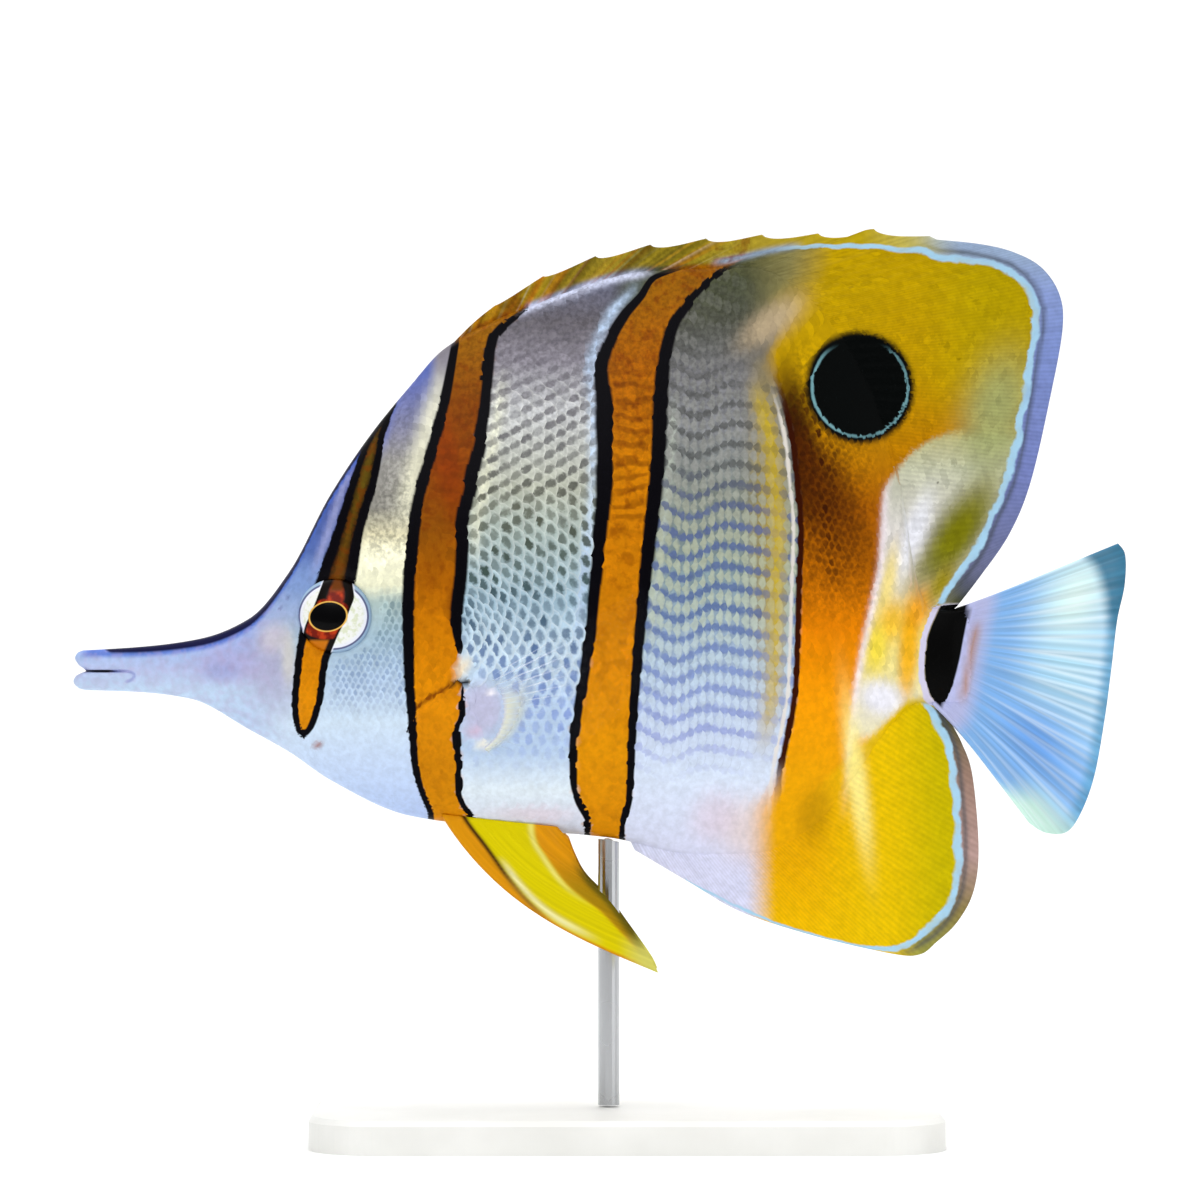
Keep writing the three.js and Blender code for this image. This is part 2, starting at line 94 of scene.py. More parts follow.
# %% [markdown]
# Body lines are curves that never swing past their points, so a belly stays as full as it was measured.
# Fin edges are rounded paths through a few points. Both are read as whole arrays. A common spline would
# need no rule for its slopes, but bulges between points.

# %% Curves


def smooth_line(points):
    """value(t) through points (t, value): cubic Hermite pieces. The slope at a point is the weighted harmonic
    mean of the chords on either side, and 0 at a turning point."""
    t, value = np.array(points, float).T
    gap = np.diff(t)
    chord = np.diff(value) / gap
    slope = np.concatenate([chord[:1], np.zeros(len(t) - 2), chord[-1:]])
    before, after = chord[:-1], chord[1:]
    same = before * after > 0
    w1, w2 = 2 * gap[1:] + gap[:-1], gap[1:] + 2 * gap[:-1]
    mean = (w1 + w2) / (w1 / np.where(same, before, 1) + w2 / np.where(same, after, 1))
    slope[1:-1] = np.where(same, mean, 0)

    def line(at):
        """The cubic piece that at falls in, with s its share of the way along it."""
        at = np.clip(at, t[0], t[-1])
        k = np.clip(np.searchsorted(t, at, side="right") - 1, 0, len(t) - 2)
        s = (at - t[k]) / gap[k]
        rise = value[k] * (1 + 2 * s) * (1 - s) ** 2 + value[k + 1] * s * s * (3 - 2 * s)
        return rise + gap[k] * (slope[k] * s * (1 - s) ** 2 + slope[k + 1] * s * s * (s - 1))

    return line


def smooth_path(points, steps=60):
    """(x, z) at a share of the length of a Catmull-Rom curve through points: on each piece
    (2p1 - 2p2 + v1 + v2) s^3 + (3p2 - 3p1 - 2v1 - v2) s^2 + v1 s + p1, v half the chord past a point."""
    p = np.array(points, float)
    wide = np.concatenate([p[:1], p, p[-1:]])
    speed = (wide[2:] - wide[:-2]) / 2
    s = np.linspace(0, 1, steps, endpoint=False)[:, None]
    runs = [
        (2 * p[k] - 2 * p[k + 1] + speed[k] + speed[k + 1]) * s**3
        + (3 * p[k + 1] - 3 * p[k] - 2 * speed[k] - speed[k + 1]) * s**2
        + speed[k] * s
        + p[k]
        for k in range(len(p) - 1)
    ]
    track = np.concatenate([*runs, p[-1:]])
    length = np.concatenate([[0], np.cumsum(np.hypot(*np.diff(track, axis=0).T))])

    def path(share):
        """x and z at a share of the whole length."""
        at = np.clip(share, 0, 1) * length[-1]
        return np.interp(at, length, track[:, 0]), np.interp(at, length, track[:, 1])

    return path


def behind(line, x, z):
    """Distance in millimetres of (x, z) behind the line x = line(z): (x - line(z)) / sqrt(1 + line'(z)^2)."""
    slope = (line(z + 0.2) - line(z - 0.2)) / 0.4
    return (x - line(z)) / np.sqrt(1 + slope**2)


def near(points, x, z):
    """Distance in millimetres from (x, z) to the nearest point of a smooth path."""
    px, pz = smooth_path(points, 12)(np.linspace(0, 1, 40))
    found = np.full(np.shape(x), 1e9)
    for ax, az, bx, bz in zip(px[:-1], pz[:-1], px[1:], pz[1:]):
        run = (bx - ax) ** 2 + (bz - az) ** 2
        t = np.clip(((x - ax) * (bx - ax) + (z - az) * (bz - az)) / run, 0, 1)
        found = np.minimum(found, np.hypot(x - ax - t * (bx - ax), z - az - t * (bz - az)))
    return found


print("a line through 0, 1 and 0 is", smooth_line([[0, 0], [1, 1], [2, 0]])(0.5), "high half-way up")

# %% [markdown]
# These lines are the fish's own build: back, belly, where it is widest, and how wide. They repeat the
# solids' lines, so the skin lies just inside the solids, deeper by the thickness of the scales. A sculpted
# body could look the same, but its lines couldn't be measured or changed one by one.

# %% The flesh
back_line = smooth_line([
    [-1, 2.7], [3, 2.9], [9.6, 3.25], [19, 4.5], [26.5, 7.6], [32.5, 14.7], [38.5, 26], [44.5, 35],
    [50.5, 42.4], [55.6, 48], [67.8, 54.2], [86.5, 59.8], [101.5, 60.4], [109, 57.4], [115.8, 50],
    [121, 39.5], [124.2, 28], [126, 16], [128.4, 9.2], [136.4, 9],
])
belly_line = smooth_line([
    [-1, -3.2], [9.6, -3.5], [17.5, -4.5], [26.5, -9.2], [32.5, -12.6], [38.5, -16.7], [50.5, -22.1],
    [64, -23.9], [80.5, -25.4], [94, -28.2], [103, -28], [111.3, -24], [117.3, -16.6], [122.5, -9],
    [127, -5.2], [136.4, -5.6],
])
wide_level = smooth_line([[-1, 0], [18, 0], [39, 6.4], [64, 11], [94, 11], [117, 7.4], [128, 2.1], [137, 2]])
half_width = smooth_line([
    [-1, 1.5], [2, 1.9], [9.6, 2.2], [18, 2.8], [26, 4.5], [33, 6.2], [40, 7.6], [50, 9.2], [64, 10.5],
    [80, 10.6], [95, 9.6], [108, 7.5], [118, 5.2], [127, 3.3], [132, 2.7], [137, 1.7],
])
back_fade = smooth_line([[20, 0.5], [45, 0.62], [60, 1.05], [118, 1.1], [130, 0.55]])
belly_fade = smooth_line([[20, 0.5], [60, 0.6], [80, 0.75], [92, 1.1], [118, 1.1], [130, 0.55]])
crest_half = smooth_line([[0, 0.3], [20, 0.45], [50, 0.7], [62, 1.1], [120, 1.1], [132, 0.7]])
SECTION_POWER = 2.3


def flesh_half(x, z):
    """Half the body's thickness at (x, z): crest sqrt(1 - cap^2) + (width - crest) (1 - share^2.3)^roundness.
    share runs from the widest level to the back or belly line, and cap rounds its last crest-width."""
    level = wide_level(x)
    reach = np.where(z > level, back_line(x) - level, level - belly_line(x))
    share = np.clip(np.abs(z - level) / reach, 0, 1)
    roundness = np.where(z > level, back_fade(x), belly_fade(x))
    crest = crest_half(x)
    cap = np.clip(1 - (1 - share) * reach / crest, 0, 1)
    return crest * np.sqrt(1 - cap**2) + (half_width(x) - crest) * (1 - share**SECTION_POWER) ** roundness


print("thickest half at the shoulder:", round(float(flesh_half(np.array(70.0), np.array(11.0))), 2), "mm")

# %% [markdown]
# Finishes are node trees on Cycles' own shader. This small helper makes one plain step at a time and hands
# back the socket it made, so a finish below reads from top to bottom like a recipe. Nodes drawn by hand in
# the editor would do the same, but can't be read, repeated or compared as text.

# %% Helper for finishes


def pigment(red, green, blue):
    """Linear light from a chip's 0 to 255 values: ((c + 0.055) / 1.055)^2.4, or c / 12.92 in the dark."""
    c = np.array([red, green, blue]) / 255
    return np.where(c <= 0.04045, c / 12.92, ((c + 0.055) / 1.055) ** 2.4)


class Finish:
    """A material's nodes, added one step at a time. Every step returns its output socket."""

    def __init__(self, name):
        """An empty tree with its shader joined to the output."""
        self.material = bpy.data.materials.new(name)
        self.material.use_nodes = True
        self.tree = self.material.node_tree
        self.tree.nodes.clear()
        self.shader = self.tree.nodes.new("ShaderNodeBsdfPrincipled")
        output = self.tree.nodes.new("ShaderNodeOutputMaterial")
        self.tree.links.new(self.shader.outputs[0], output.inputs[0])

    def put(self, socket, value):
        """Join another socket to this one, or set a number or a colour on it."""
        if isinstance(value, bpy.types.NodeSocket):
            self.tree.links.new(value, socket)
        elif np.ndim(value) == 1 and socket.type == "RGBA":
            socket.default_value = (*[float(v) for v in value], 1.0)
        else:
            socket.default_value = value

    def set(self, **values):
        """Put values on the shader's sockets, by their names in small letters."""
        for name, value in values.items():
            title = name.replace("_", " ").title().replace("Specular Level", "Specular IOR Level")
            self.put(self.shader.inputs[title], value)

    def attribute(self, name, output="Fac"):
        """A field that is written on the mesh."""
        made = self.tree.nodes.new("ShaderNodeAttribute")
        made.attribute_name = name
        return made.outputs[output]

    def place(self):
        """The point's place in the object, in metres."""
        return self.tree.nodes.new("ShaderNodeTexCoord").outputs["Object"]

    def calc(self, operation, *values):
        """One sum, product or other step between numbers."""
        made = self.tree.nodes.new("ShaderNodeMath")
        made.operation = operation
        for socket, value in zip(made.inputs, values):
            self.put(socket, value)
        return made.outputs[0]

    def times(self, first, *others):
        """The product of all values, from the first to the last."""
        for value in others:
            first = self.calc("MULTIPLY", first, value)
        return first

    def ramp(self, value, low, high, start=0.0, end=1.0):
        """start at low, end at high, and between them the smooth step 3 t^2 - 2 t^3."""
        made = self.tree.nodes.new("ShaderNodeMapRange")
        made.interpolation_type = "SMOOTHSTEP"
        for socket, number in zip(made.inputs, [value, low, high, start, end]):
            self.put(socket, number)
        return made.outputs[0]

    def line(self, value, centre, outer, inner):
        """1 within inner of the centre and 0 beyond outer: the ramp of |value - centre|."""
        return self.ramp(self.calc("ABSOLUTE", self.calc("SUBTRACT", value, centre)), outer, inner)

    def mix(self, share, below, above, way="MIX"):
        """above over below, by a share."""
        made = self.tree.nodes.new("ShaderNodeMix")
        made.data_type = "RGBA"
        made.blend_type = way
        for index, value in [(0, share), (6, below), (7, above)]:
            self.put(made.inputs[index], value)
        return made.outputs[2]

    def lay(self, colour, layers):
        """Paint chips over a colour in their order, each with its share."""
        for chip, share in layers:
            colour = self.mix(share, colour, pigment(*chip))
        return colour

    def noise(self, where, scale, detail=2.0):
        """Cloudy noise, about scale clouds to a metre."""
        made = self.tree.nodes.new("ShaderNodeTexNoise")
        self.put(made.inputs["Vector"], where)
        made.inputs["Scale"].default_value = scale
        made.inputs["Detail"].default_value = detail
        return made.outputs["Fac"]

    def cloud(self, where, scale, detail, low, high, start=0.0, end=1.0):
        """Noise through a ramp."""
        return self.ramp(self.noise(where, scale, detail), low, high, start, end)

    def split(self, vector):
        """The three parts of a vector."""
        made = self.tree.nodes.new("ShaderNodeSeparateXYZ")
        self.put(made.inputs[0], vector)
        return made.outputs

    def bump(self, height, distance, strength=1.0):
        """Fine relief of a height between 0 and 1, distance metres deep."""
        made = self.tree.nodes.new("ShaderNodeBump")
        made.inputs["Strength"].default_value = strength
        made.inputs["Distance"].default_value = distance
        self.put(made.inputs["Height"], height)
        self.put(self.shader.inputs["Normal"], made.outputs[0])


print("the chip (128, 128, 128) is", pigment(128, 128, 128)[0].round(3), "in linear light")

# %% [markdown]
# A piece is a grid of points joined by quads. Where a piece is pinched shut and asked to merge, as the
# skin and the eyes are, its doubled points are merged and its faces turned outwards, so that it is one closed
# body. Blender's own primitives would need editing point by point, where a formula gives all points at once.

# %% Helpers for pieces


def grid_quads(rows, columns, wrap=True):
    """Corner numbers of the quads between (i, j), (i, j + 1), (i + 1, j + 1), (i + 1, j)."""
    i, j = np.meshgrid(np.arange(rows - 1), np.arange(columns - (not wrap)), indexing="ij")
    k = (j + 1) % columns
    corners = [i * columns + j, i * columns + k, (i + 1) * columns + k, (i + 1) * columns + j]
    return np.stack(corners, axis=-1).reshape(-1, 4)


def make_piece(name, points, faces, replaced=(), merge=False):
    """A mesh object at the origin that rides on the fish, from points in metres and faces of equal size."""
    mesh = bpy.data.meshes.new(name)
    mesh.from_pydata(np.reshape(points, (-1, 3)), [], np.asarray(faces))
    if merge:
        sculpt = bmesh.new()
        sculpt.from_mesh(mesh)
        bmesh.ops.remove_doubles(sculpt, verts=sculpt.verts, dist=2e-6)
        bmesh.ops.dissolve_degenerate(sculpt, edges=sculpt.edges, dist=1e-7)
        bmesh.ops.recalc_face_normals(sculpt, faces=sculpt.faces)
        sculpt.to_mesh(mesh)
        sculpt.free()
    mesh.shade_smooth()
    piece = bpy.data.objects.new(name, mesh)
    bpy.context.scene.collection.objects.link(piece)
    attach(piece, "root")
    if replaced:
        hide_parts(*replaced)
    print(name, "has", len(mesh.polygons), "faces")
    return piece


def side_place(piece):
    """The side view's x and z, in millimetres, of a piece's points, and the metres of their y."""
    found = np.empty(3 * len(piece.data.vertices), np.float32)
    piece.data.vertices.foreach_get("co", found)
    x, y, z = found.reshape(-1, 3).T.astype(float)
    return (x + TOTAL_LENGTH / 2) / MM, y, (z - MOUTH_HEIGHT) / MM


def write_field(piece, name, values, kind="FLOAT"):
    """Put one number, vector or colour per point on the mesh as a named attribute."""
    key = {"FLOAT": "value", "FLOAT_VECTOR": "vector", "FLOAT_COLOR": "color"}[kind]
    made = piece.data.attributes.new(name, kind, "POINT")
    made.data.foreach_set(key, np.ascontiguousarray(values, np.float32).ravel())


print("a grid of 3 by 4 points has", len(grid_quads(3, 4, wrap=False)), "quads")

# %% [markdown]
# Camera first. The photo looks square at the fish's left side, with the whole fish in a square frame. A
# long lens from the side keeps the outline true, as a picture of a fish in a tank has.

# %% Camera
FRAME_WIDTH = 0.18
FRAME_CENTRE_HEIGHT = 0.081
CAMERA_DISTANCE = 0.9
SENSOR_WIDTH = 36

camera_data = bpy.data.cameras.new("camera")
camera_data.sensor_width = SENSOR_WIDTH
camera_data.lens = SENSOR_WIDTH * CAMERA_DISTANCE / FRAME_WIDTH
camera = bpy.data.objects.new("camera", camera_data)
camera.location = (0, -CAMERA_DISTANCE, FRAME_CENTRE_HEIGHT)
camera.rotation_euler = (np.pi / 2, 0, 0)
bpy.context.scene.collection.objects.link(camera)
bpy.context.scene.camera = camera
print("lens of", round(camera_data.lens), "mm")

# %% [markdown]
# The floor runs back and curves up into a wall, one pale sheet with no horizon, as in a product studio. A
# flat floor and a separate wall would draw a line behind the fish.

# %% Studio sheet
SWEEP_FRONT = -0.4
SWEEP_BACK = 1.5
SWEEP_RADIUS = 0.7
SWEEP_TOP = 2.2
SWEEP_HALF = 2.2


def sweep_points():
    """Profile (y, z): flat to the bend, then y = back - r + r sin a, z = r - r cos a, then straight up."""
    a = np.linspace(0, np.pi / 2, 17)
    bend_y = SWEEP_BACK - SWEEP_RADIUS + SWEEP_RADIUS * np.sin(a)
    y = np.concatenate([[SWEEP_FRONT], bend_y, [SWEEP_BACK]])
    z = np.concatenate([[0], SWEEP_RADIUS * (1 - np.cos(a)), [SWEEP_TOP]])
    x = np.array([-SWEEP_HALF, SWEEP_HALF])
    return np.stack(np.broadcast_arrays(x[None, :], y[:, None], z[:, None]), axis=-1)


sheet_points = sweep_points()
sheet_mesh = bpy.data.meshes.new("studio_floor")
sheet_mesh.from_pydata(sheet_points.reshape(-1, 3), [], grid_quads(*sheet_points.shape[:2], wrap=False))
sheet_mesh.shade_smooth()
studio_floor = bpy.data.objects.new("studio_floor", sheet_mesh)
bpy.context.scene.collection.objects.link(studio_floor)

floor_finish = Finish("pale_floor")
floor_finish.set(base_color=pigment(246, 246, 245), roughness=0.85, specular_level=0.2)
studio_floor.data.materials.append(floor_finish.material)
print("the floor bends up into a wall", SWEEP_BACK, "m behind the fish")

# %% [markdown]
# Light is broad and nearly white: a large soft box in front and above, a weaker one on each side, one from
# behind for the fins' edges, and a pale sky that fills the rest. Small lamps would throw hard shadows that
# the photo doesn't have. Straight from the camera the sky shows white, so that every side has a plain
# backdrop.

# %% Light
SKY_LOW = 0.1
SKY_HIGH = 0.95
SKY_SEEN = 1.0
SKY_FOOT = -0.1
SKY_CROWN = 0.9
FISH_AT = (0, 0, 0.08)
SOFT_BOXES = [
    ("key_box", (-0.35, -1.0, 0.75), FISH_AT, (0.7, 0.7), 5.1),
    ("fill_box", (0.9, -0.8, 0.3), FISH_AT, (0.7, 0.7), 1.6),
    ("back_box", (0.3, 0.5, 1.1), FISH_AT, (0.9, 0.6), 3.0),
    ("wall_box", (0, 0.2, 1.9), (0, 1.3, 0.3), (2.2, 1.0), 18.0),
]


def soft_box(name, place, target, size, power):
    """A rectangular lamp at place, turned so that its -Z runs along target - place."""
    data = bpy.data.lights.new(name, "AREA")
    data.shape = "RECTANGLE"
    data.size, data.size_y = size
    data.energy = power
    lamp = bpy.data.objects.new(name, data)
    lamp.location = place
    lamp.rotation_euler = (Vector(target) - Vector(place)).to_track_quat("-Z", "Y").to_euler()
    bpy.context.scene.collection.objects.link(lamp)


for box in SOFT_BOXES:
    soft_box(*box)

sky = bpy.data.worlds.new("sky")
sky.use_nodes = True
sky_nodes, join = sky.node_tree.nodes, sky.node_tree.links.new
direction = sky_nodes.new("ShaderNodeTexCoord")
upright = sky_nodes.new("ShaderNodeSeparateXYZ")
strength = sky_nodes.new("ShaderNodeMapRange")
for socket, value in zip(strength.inputs[1:5], (SKY_FOOT, SKY_CROWN, SKY_LOW, SKY_HIGH)):
    socket.default_value = value
seen_white = sky_nodes.new("ShaderNodeMapRange")
seen_white.inputs["To Max"].default_value = SKY_SEEN
brighter = sky_nodes.new("ShaderNodeMath")
brighter.operation = "MAXIMUM"
join(direction.outputs["Generated"], upright.inputs[0])
join(upright.outputs[2], strength.inputs[0])
join(sky_nodes.new("ShaderNodeLightPath").outputs["Is Camera Ray"], seen_white.inputs[0])
join(strength.outputs[0], brighter.inputs[0])
join(seen_white.outputs[0], brighter.inputs[1])
join(brighter.outputs[0], sky_nodes["Background"].inputs["Strength"])
sky_nodes["Background"].inputs["Color"].default_value = (1, 1, 1, 1)
bpy.context.scene.world = sky
bpy.context.scene.view_settings.view_transform = "Standard"
print(len(SOFT_BOXES), "soft boxes under a sky of", SKY_LOW, "to", SKY_HIGH)

# %% [markdown]
# The markings are worked out once for every piece. Each crisp one is a field, a distance in the side view
# that changes smoothly, written on the points of the mesh. The finish turns it into an edge as sharp as
# the picture, however coarse the mesh is. Skin, scales and fins call the same functions, so a band runs
# from one to the next unbroken.

# %% Lines of the markings
eye_band_front = smooth_line([
    [-10.5, 34.8], [-9.2, 33.6], [-5.3, 33], [-0.3, 33.4], [5.4, 34.2], [14.2, 37], [20.7, 39.3],
    [28.3, 41.7], [34.3, 43.9], [40.3, 47.8],
])
eye_band_back = smooth_line([
    [-10.5, 34.8], [-8.7, 36.3], [-4.2, 37.8], [0.7, 38.5], [3.9, 39.7], [13, 42.7], [20.7, 43.9],
    [28.3, 45.9], [34.3, 46.8], [41.1, 49],
])
eye_band_edge = smooth_line([
    [-10.5, 0.9], [-4, 1.05], [3, 1.15], [6, 1.5], [13, 1.7], [16, 1.65], [20.7, 1.45],
    [26.6, 1.25], [33, 0.95], [40, 0.9],
])
cheek_band_front = smooth_line([
    [-21.5, 53.7], [-17.6, 52.2], [-13.8, 51.4], [-6, 51], [-2.3, 50.7], [9.3, 50.5], [17.5, 51], [25.2, 52],
    [32.8, 54], [40.5, 55.9], [48.6, 57.3],
])
cheek_band_back = smooth_line([
    [-28.1, 63.6], [-24.3, 61.8], [-22.1, 59.8], [-18.6, 58], [-12.9, 57.9], [-9, 57.7], [-6.9, 58.5],
    [-2.1, 58.6], [2.2, 58.2], [6.7, 57.6], [13.8, 58.2], [21.4, 58.6], [29.1, 60.1], [36.7, 61.6],
    [44.4, 62.4], [49.3, 63.1], [54, 67.8],
])
flank_band_front = smooth_line([
    [-22.2, 77.1], [-19.5, 75.7], [-16.7, 75], [-11.9, 75], [-6.3, 75.7], [-1.1, 76.6], [4.3, 77.4],
    [13.8, 78.3], [21.4, 79.2], [29.1, 79.6], [38.7, 79.6], [44.4, 79.2], [48.1, 80.1], [52.8, 82.6],
    [55.9, 85.2], [58.3, 86.8], [60.2, 91], [62, 95],
])
flank_band_back = smooth_line([
    [-23.4, 82.3], [-18.6, 83.4], [-11, 83.7], [-1.4, 84.3], [9.9, 85.3], [17.5, 86.1], [25.2, 87],
    [32.8, 87.7], [40.5, 88], [46.3, 88.6], [51.3, 90], [54.7, 92.2], [58.3, 95.6], [60.6, 99], [62, 102],
])
rear_band_front = smooth_line([
    [-20, 105.4], [-16.2, 105.7], [-8.6, 107.2], [-2.9, 108.1], [4.9, 108.4], [12.9, 108.6], [20.5, 108.9],
    [28.2, 108.3], [34, 107.7], [37.8, 106.9], [43.5, 105.2],
])
rear_band_back = smooth_line([
    [-24, 115], [-16.2, 115.8], [-6.6, 116.5], [1, 117.6], [8.7, 119.2], [16.3, 120.7], [20.5, 121],
    [26.4, 121.5], [30.1, 123.7], [33.3, 126.9], [35.5, 131], [38, 137],
])
tail_bar_front = smooth_line([
    [-5.6, 130], [-3.8, 128.4], [0.1, 127.6], [3.9, 127.9], [8.2, 129.5], [9.8, 130.4],
])
tail_bar_back = smooth_line([[-5.6, 130.2], [-5, 130.6], [1, 132.6], [4.5, 133.3], [8.7, 134.2]])
DORSAL_STRIPE = [
    [94, 61], [100, 62.1], [107.7, 63.1], [113.4, 63.4], [118.3, 63.3], [126.9, 62.7], [129.9, 61.8],
    [134.5, 61.3], [140.2, 59.7], [143.2, 57], [144.6, 53.1], [144, 48.9], [143.1, 43.5], [142.2, 37.8],
    [141.1, 32.1], [139.8, 27.4], [137.5, 22.5], [135.3, 17.5], [131.8, 12.9], [130.2, 10.3],
]
ANAL_STRIPE = [
    [127.2, -4.4], [129.4, -8.1], [131.4, -12.8], [132.1, -18.2], [132.6, -23.9], [132.6, -29.6],
    [131.8, -34.2], [129.1, -38.4], [126, -40.7], [123.7, -41.9], [116, -41.2], [104, -37.6], [92, -31.8],
]
OCELLUS_AT = (117.9, 42.1)
crown_depth = smooth_line([[2, 0.5], [10, 0.9], [20, 1.2], [28, 1.35], [36, 1.1], [47, 0.8]])
print("the blue line of the dorsal fin goes through", len(DORSAL_STRIPE), "points")

# %% [markdown]
# From these lines come the fields: how far a point is inside a band, beside the blue stripe, behind the
# rear band, or from the false eye. A field costs one number a point, and stays sharp where a painted
# picture would need thousands of pixels. One function works them all out, so that every piece agrees.

# %% Fields of the markings
LEAST_GRAIN = 0.06
STRIPE_CENTRES = ((112, 35), (112, -15))
EYE_BAND_ENDS = (-10.5, 41)
TAIL_BAR_ENDS = (-5.9, 9.5)
TAIL_LINE_ENDS = (-5.6, 9.4)
CHEEK_FRONT_HALF = ([-21, -10, 0, 10, 40, 50], [0.45, 0.6, 0.8, 0.95, 0.8, 0.55])
CHEEK_BACK_HALF = (
    [-24, -10, -6, -3, -2, 1.8, 3, 7, 30, 45, 54],
    [0.4, 0.55, 0.45, 0.3, 0.02, 0.02, 0.45, 0.9, 1.0, 0.75, 0.45],
)
FLANK_HALF = ([-24, -10, 5, 20, 40, 52, 59], [0.45, 0.62, 0.8, 1.05, 1.15, 0.8, 0.4])
DORSAL_STRIPE_HALF = ([94, 106, 122, 134], [0.18, 0.28, 0.36, 0.54])
ANAL_STRIPE_HALF = ([84, 112, 122, 128], [0.14, 0.2, 0.36, 0.6])


def stripe_distance(points, x, z, centre):
    """Distance to a stripe that bends round a centre, positive on the far side of the stripe."""
    path_x, path_z = smooth_path(points, 12)(np.linspace(0, 1, 160))
    turn = np.unwrap(np.arctan2(path_z - centre[1], path_x - centre[0]))
    order = np.argsort(turn)
    reach = np.hypot(path_x - centre[0], path_z - centre[1])
    angle = np.arctan2(z - centre[1], x - centre[0])
    angle = np.where(angle < turn.min() - 0.3, angle + 2 * np.pi, angle)
    outside = np.hypot(x - centre[0], z - centre[1]) > np.interp(angle, turn[order], reach[order])
    return near(points, x, z) * np.where(outside, 1, -1)


def beside_stripe(x, z):
    """Signed distance to the blue line of the dorsal or anal fin, in its own half widths: 1 at its edges."""
    dorsal_half = np.interp(x + 0.4 * np.maximum(0, 60 - z), *DORSAL_STRIPE_HALF)
    anal_half = np.interp(x, *ANAL_STRIPE_HALF)
    dorsal = stripe_distance(DORSAL_STRIPE, x, z, STRIPE_CENTRES[0]) / dorsal_half
    anal = stripe_distance(ANAL_STRIPE, x, z, STRIPE_CENTRES[1]) / anal_half
    return np.where(z > 5, dorsal, anal)


def stripe_near(x, z):
    """1 by the blue line, fading in along its first stretch, and 0 away from it."""
    away = np.where(z > 5, near(DORSAL_STRIPE, x, z), near(ANAL_STRIPE, x, z))
    return fade(away, 1.4, 2.4) * np.where(z > 5, step(x, 104, 112), fade(z, -5.6, -4.8))


def speckle(x, z):
    """Share of fine dark grain: most on the nape and along the back, and least on the belly."""
    nape = (0.08 * step(z, 9, 12) + 0.4 * step(z, 15, 19)) * (1 - 0.5 * step(z, 24, 36))
    nape = nape * step(behind(eye_band_back, x, z), 0, 1) * fade(x, 50, 52)
    trunk = (0.1 * step(z, -14, 0) + 0.22 * step(z, 20, 44)) * window(x, 55, 60, 98, 106)
    rear = 0.4 * window(x, 106, 109, 118, 122) * window(z, 2, 14, 44, 52)
    return np.maximum(np.maximum(nape, trunk), np.maximum(rear, LEAST_GRAIN))


def past_ends(z, ends):
    """How far z lies below the lower end or above the upper one, and 0 between them."""
    return np.maximum(np.maximum(ends[0] - z, z - ends[1]), 0)


def between(front, back, x, z):
    """Distance inside two lines: the smaller of those behind the front one and ahead of the back one."""
    return np.minimum(behind(front, x, z), -behind(back, x, z))


def band_fields(x, z):
    """The crisp fields. band is 0 in the middle of a black edge, -1 and 1 at its sides, and more within."""
    eye_band = 2 * (between(eye_band_front, eye_band_back, x, z) - past_ends(z, EYE_BAND_ENDS))
    eye_band = eye_band / eye_band_edge(z) - 1
    cheek_band = np.minimum(
        behind(cheek_band_front, x, z) / np.interp(z, *CHEEK_FRONT_HALF),
        -behind(cheek_band_back, x, z) / np.interp(z, *CHEEK_BACK_HALF),
    )
    bulge = 1 + 0.22 * soft_line(z, 37, 3) + 0.15 * soft_line(z, 29, 2)
    flank_band = np.minimum(behind(flank_band_front, x, z) / bulge, -behind(flank_band_back, x, z))
    flank_band = flank_band / np.interp(z, *FLANK_HALF)
    notch = window(z, -1.9, -1.2, 1.8, 2.8) * window(x, 56, 57, 60.5, 61)
    barred = step(flank_band, 0.8, 1.6) + 0.5 * step(cheek_band, 0.8, 1.6)
    above_snout = 2 * fade(x, 2.5, 6) + 60 * step(x, 48, 56)
    return {
        "crown": back_line(x) - z - crown_depth(x) + above_snout,
        "band": np.maximum(np.maximum(eye_band, cheek_band), flank_band),
        "ends": (1 - step(z - back_line(x), -0.9, 0.9) * step(x, 53, 56)) * (1 - notch),
        "bars": barred * window(z, 16, 24, 42, 47),
        "rear_band": behind(rear_band_front, x, z),
        "tail_bar": between(tail_bar_front, tail_bar_back, x, z) - 12 * past_ends(z, TAIL_BAR_ENDS),
        "tail_line": behind(tail_bar_front, x, z) - 12 * past_ends(z, TAIL_LINE_ENDS),
        "stripe": beside_stripe(x, z),
        "stripe_near": stripe_near(x, z),
        "speckle": speckle(x, z),
        "ocellus": np.hypot((x - OCELLUS_AT[0]) * 1.02, z - OCELLUS_AT[1]),
    }


print("fields:", ", ".join(band_fields(np.array([70.0]), np.array([11.0]))))

# %% [markdown]
# Under the crisp marks lies a wash, as an airbrush would lay it: the ground colour of each region, then
# soft patches over it in order. It has no edge of its own, so one colour for each point of the mesh is
# fine enough. A painted picture would need an unwrap and would blur close up, where a wash stays smooth.

# %% Brushes of the wash


def chips(*stops):
    """Heights and their colours as two arrays."""
    return np.array([s[0] for s in stops], float), np.array([pigment(*s[1]) for s in stops])


def shade_along(value, stops):
    """The colour at a value between stops, each channel in a straight line from stop to stop."""
    at, colours = stops
    return np.stack([np.interp(value, at, colours[:, k]) for k in range(3)], axis=-1)


def patch(x, z, centre, size, turn=0.0, power=1.5):
    """A soft patch: exp(-(u^2 + v^2)^power) in axes turned by turn, with u and v in half sizes."""
    dx, dz = x - centre[0], z - centre[1]
    u = (dx * np.cos(turn) + dz * np.sin(turn)) / size[0]
    v = (dz * np.cos(turn) - dx * np.sin(turn)) / size[1]
    return np.exp(-((u * u + v * v) ** power))


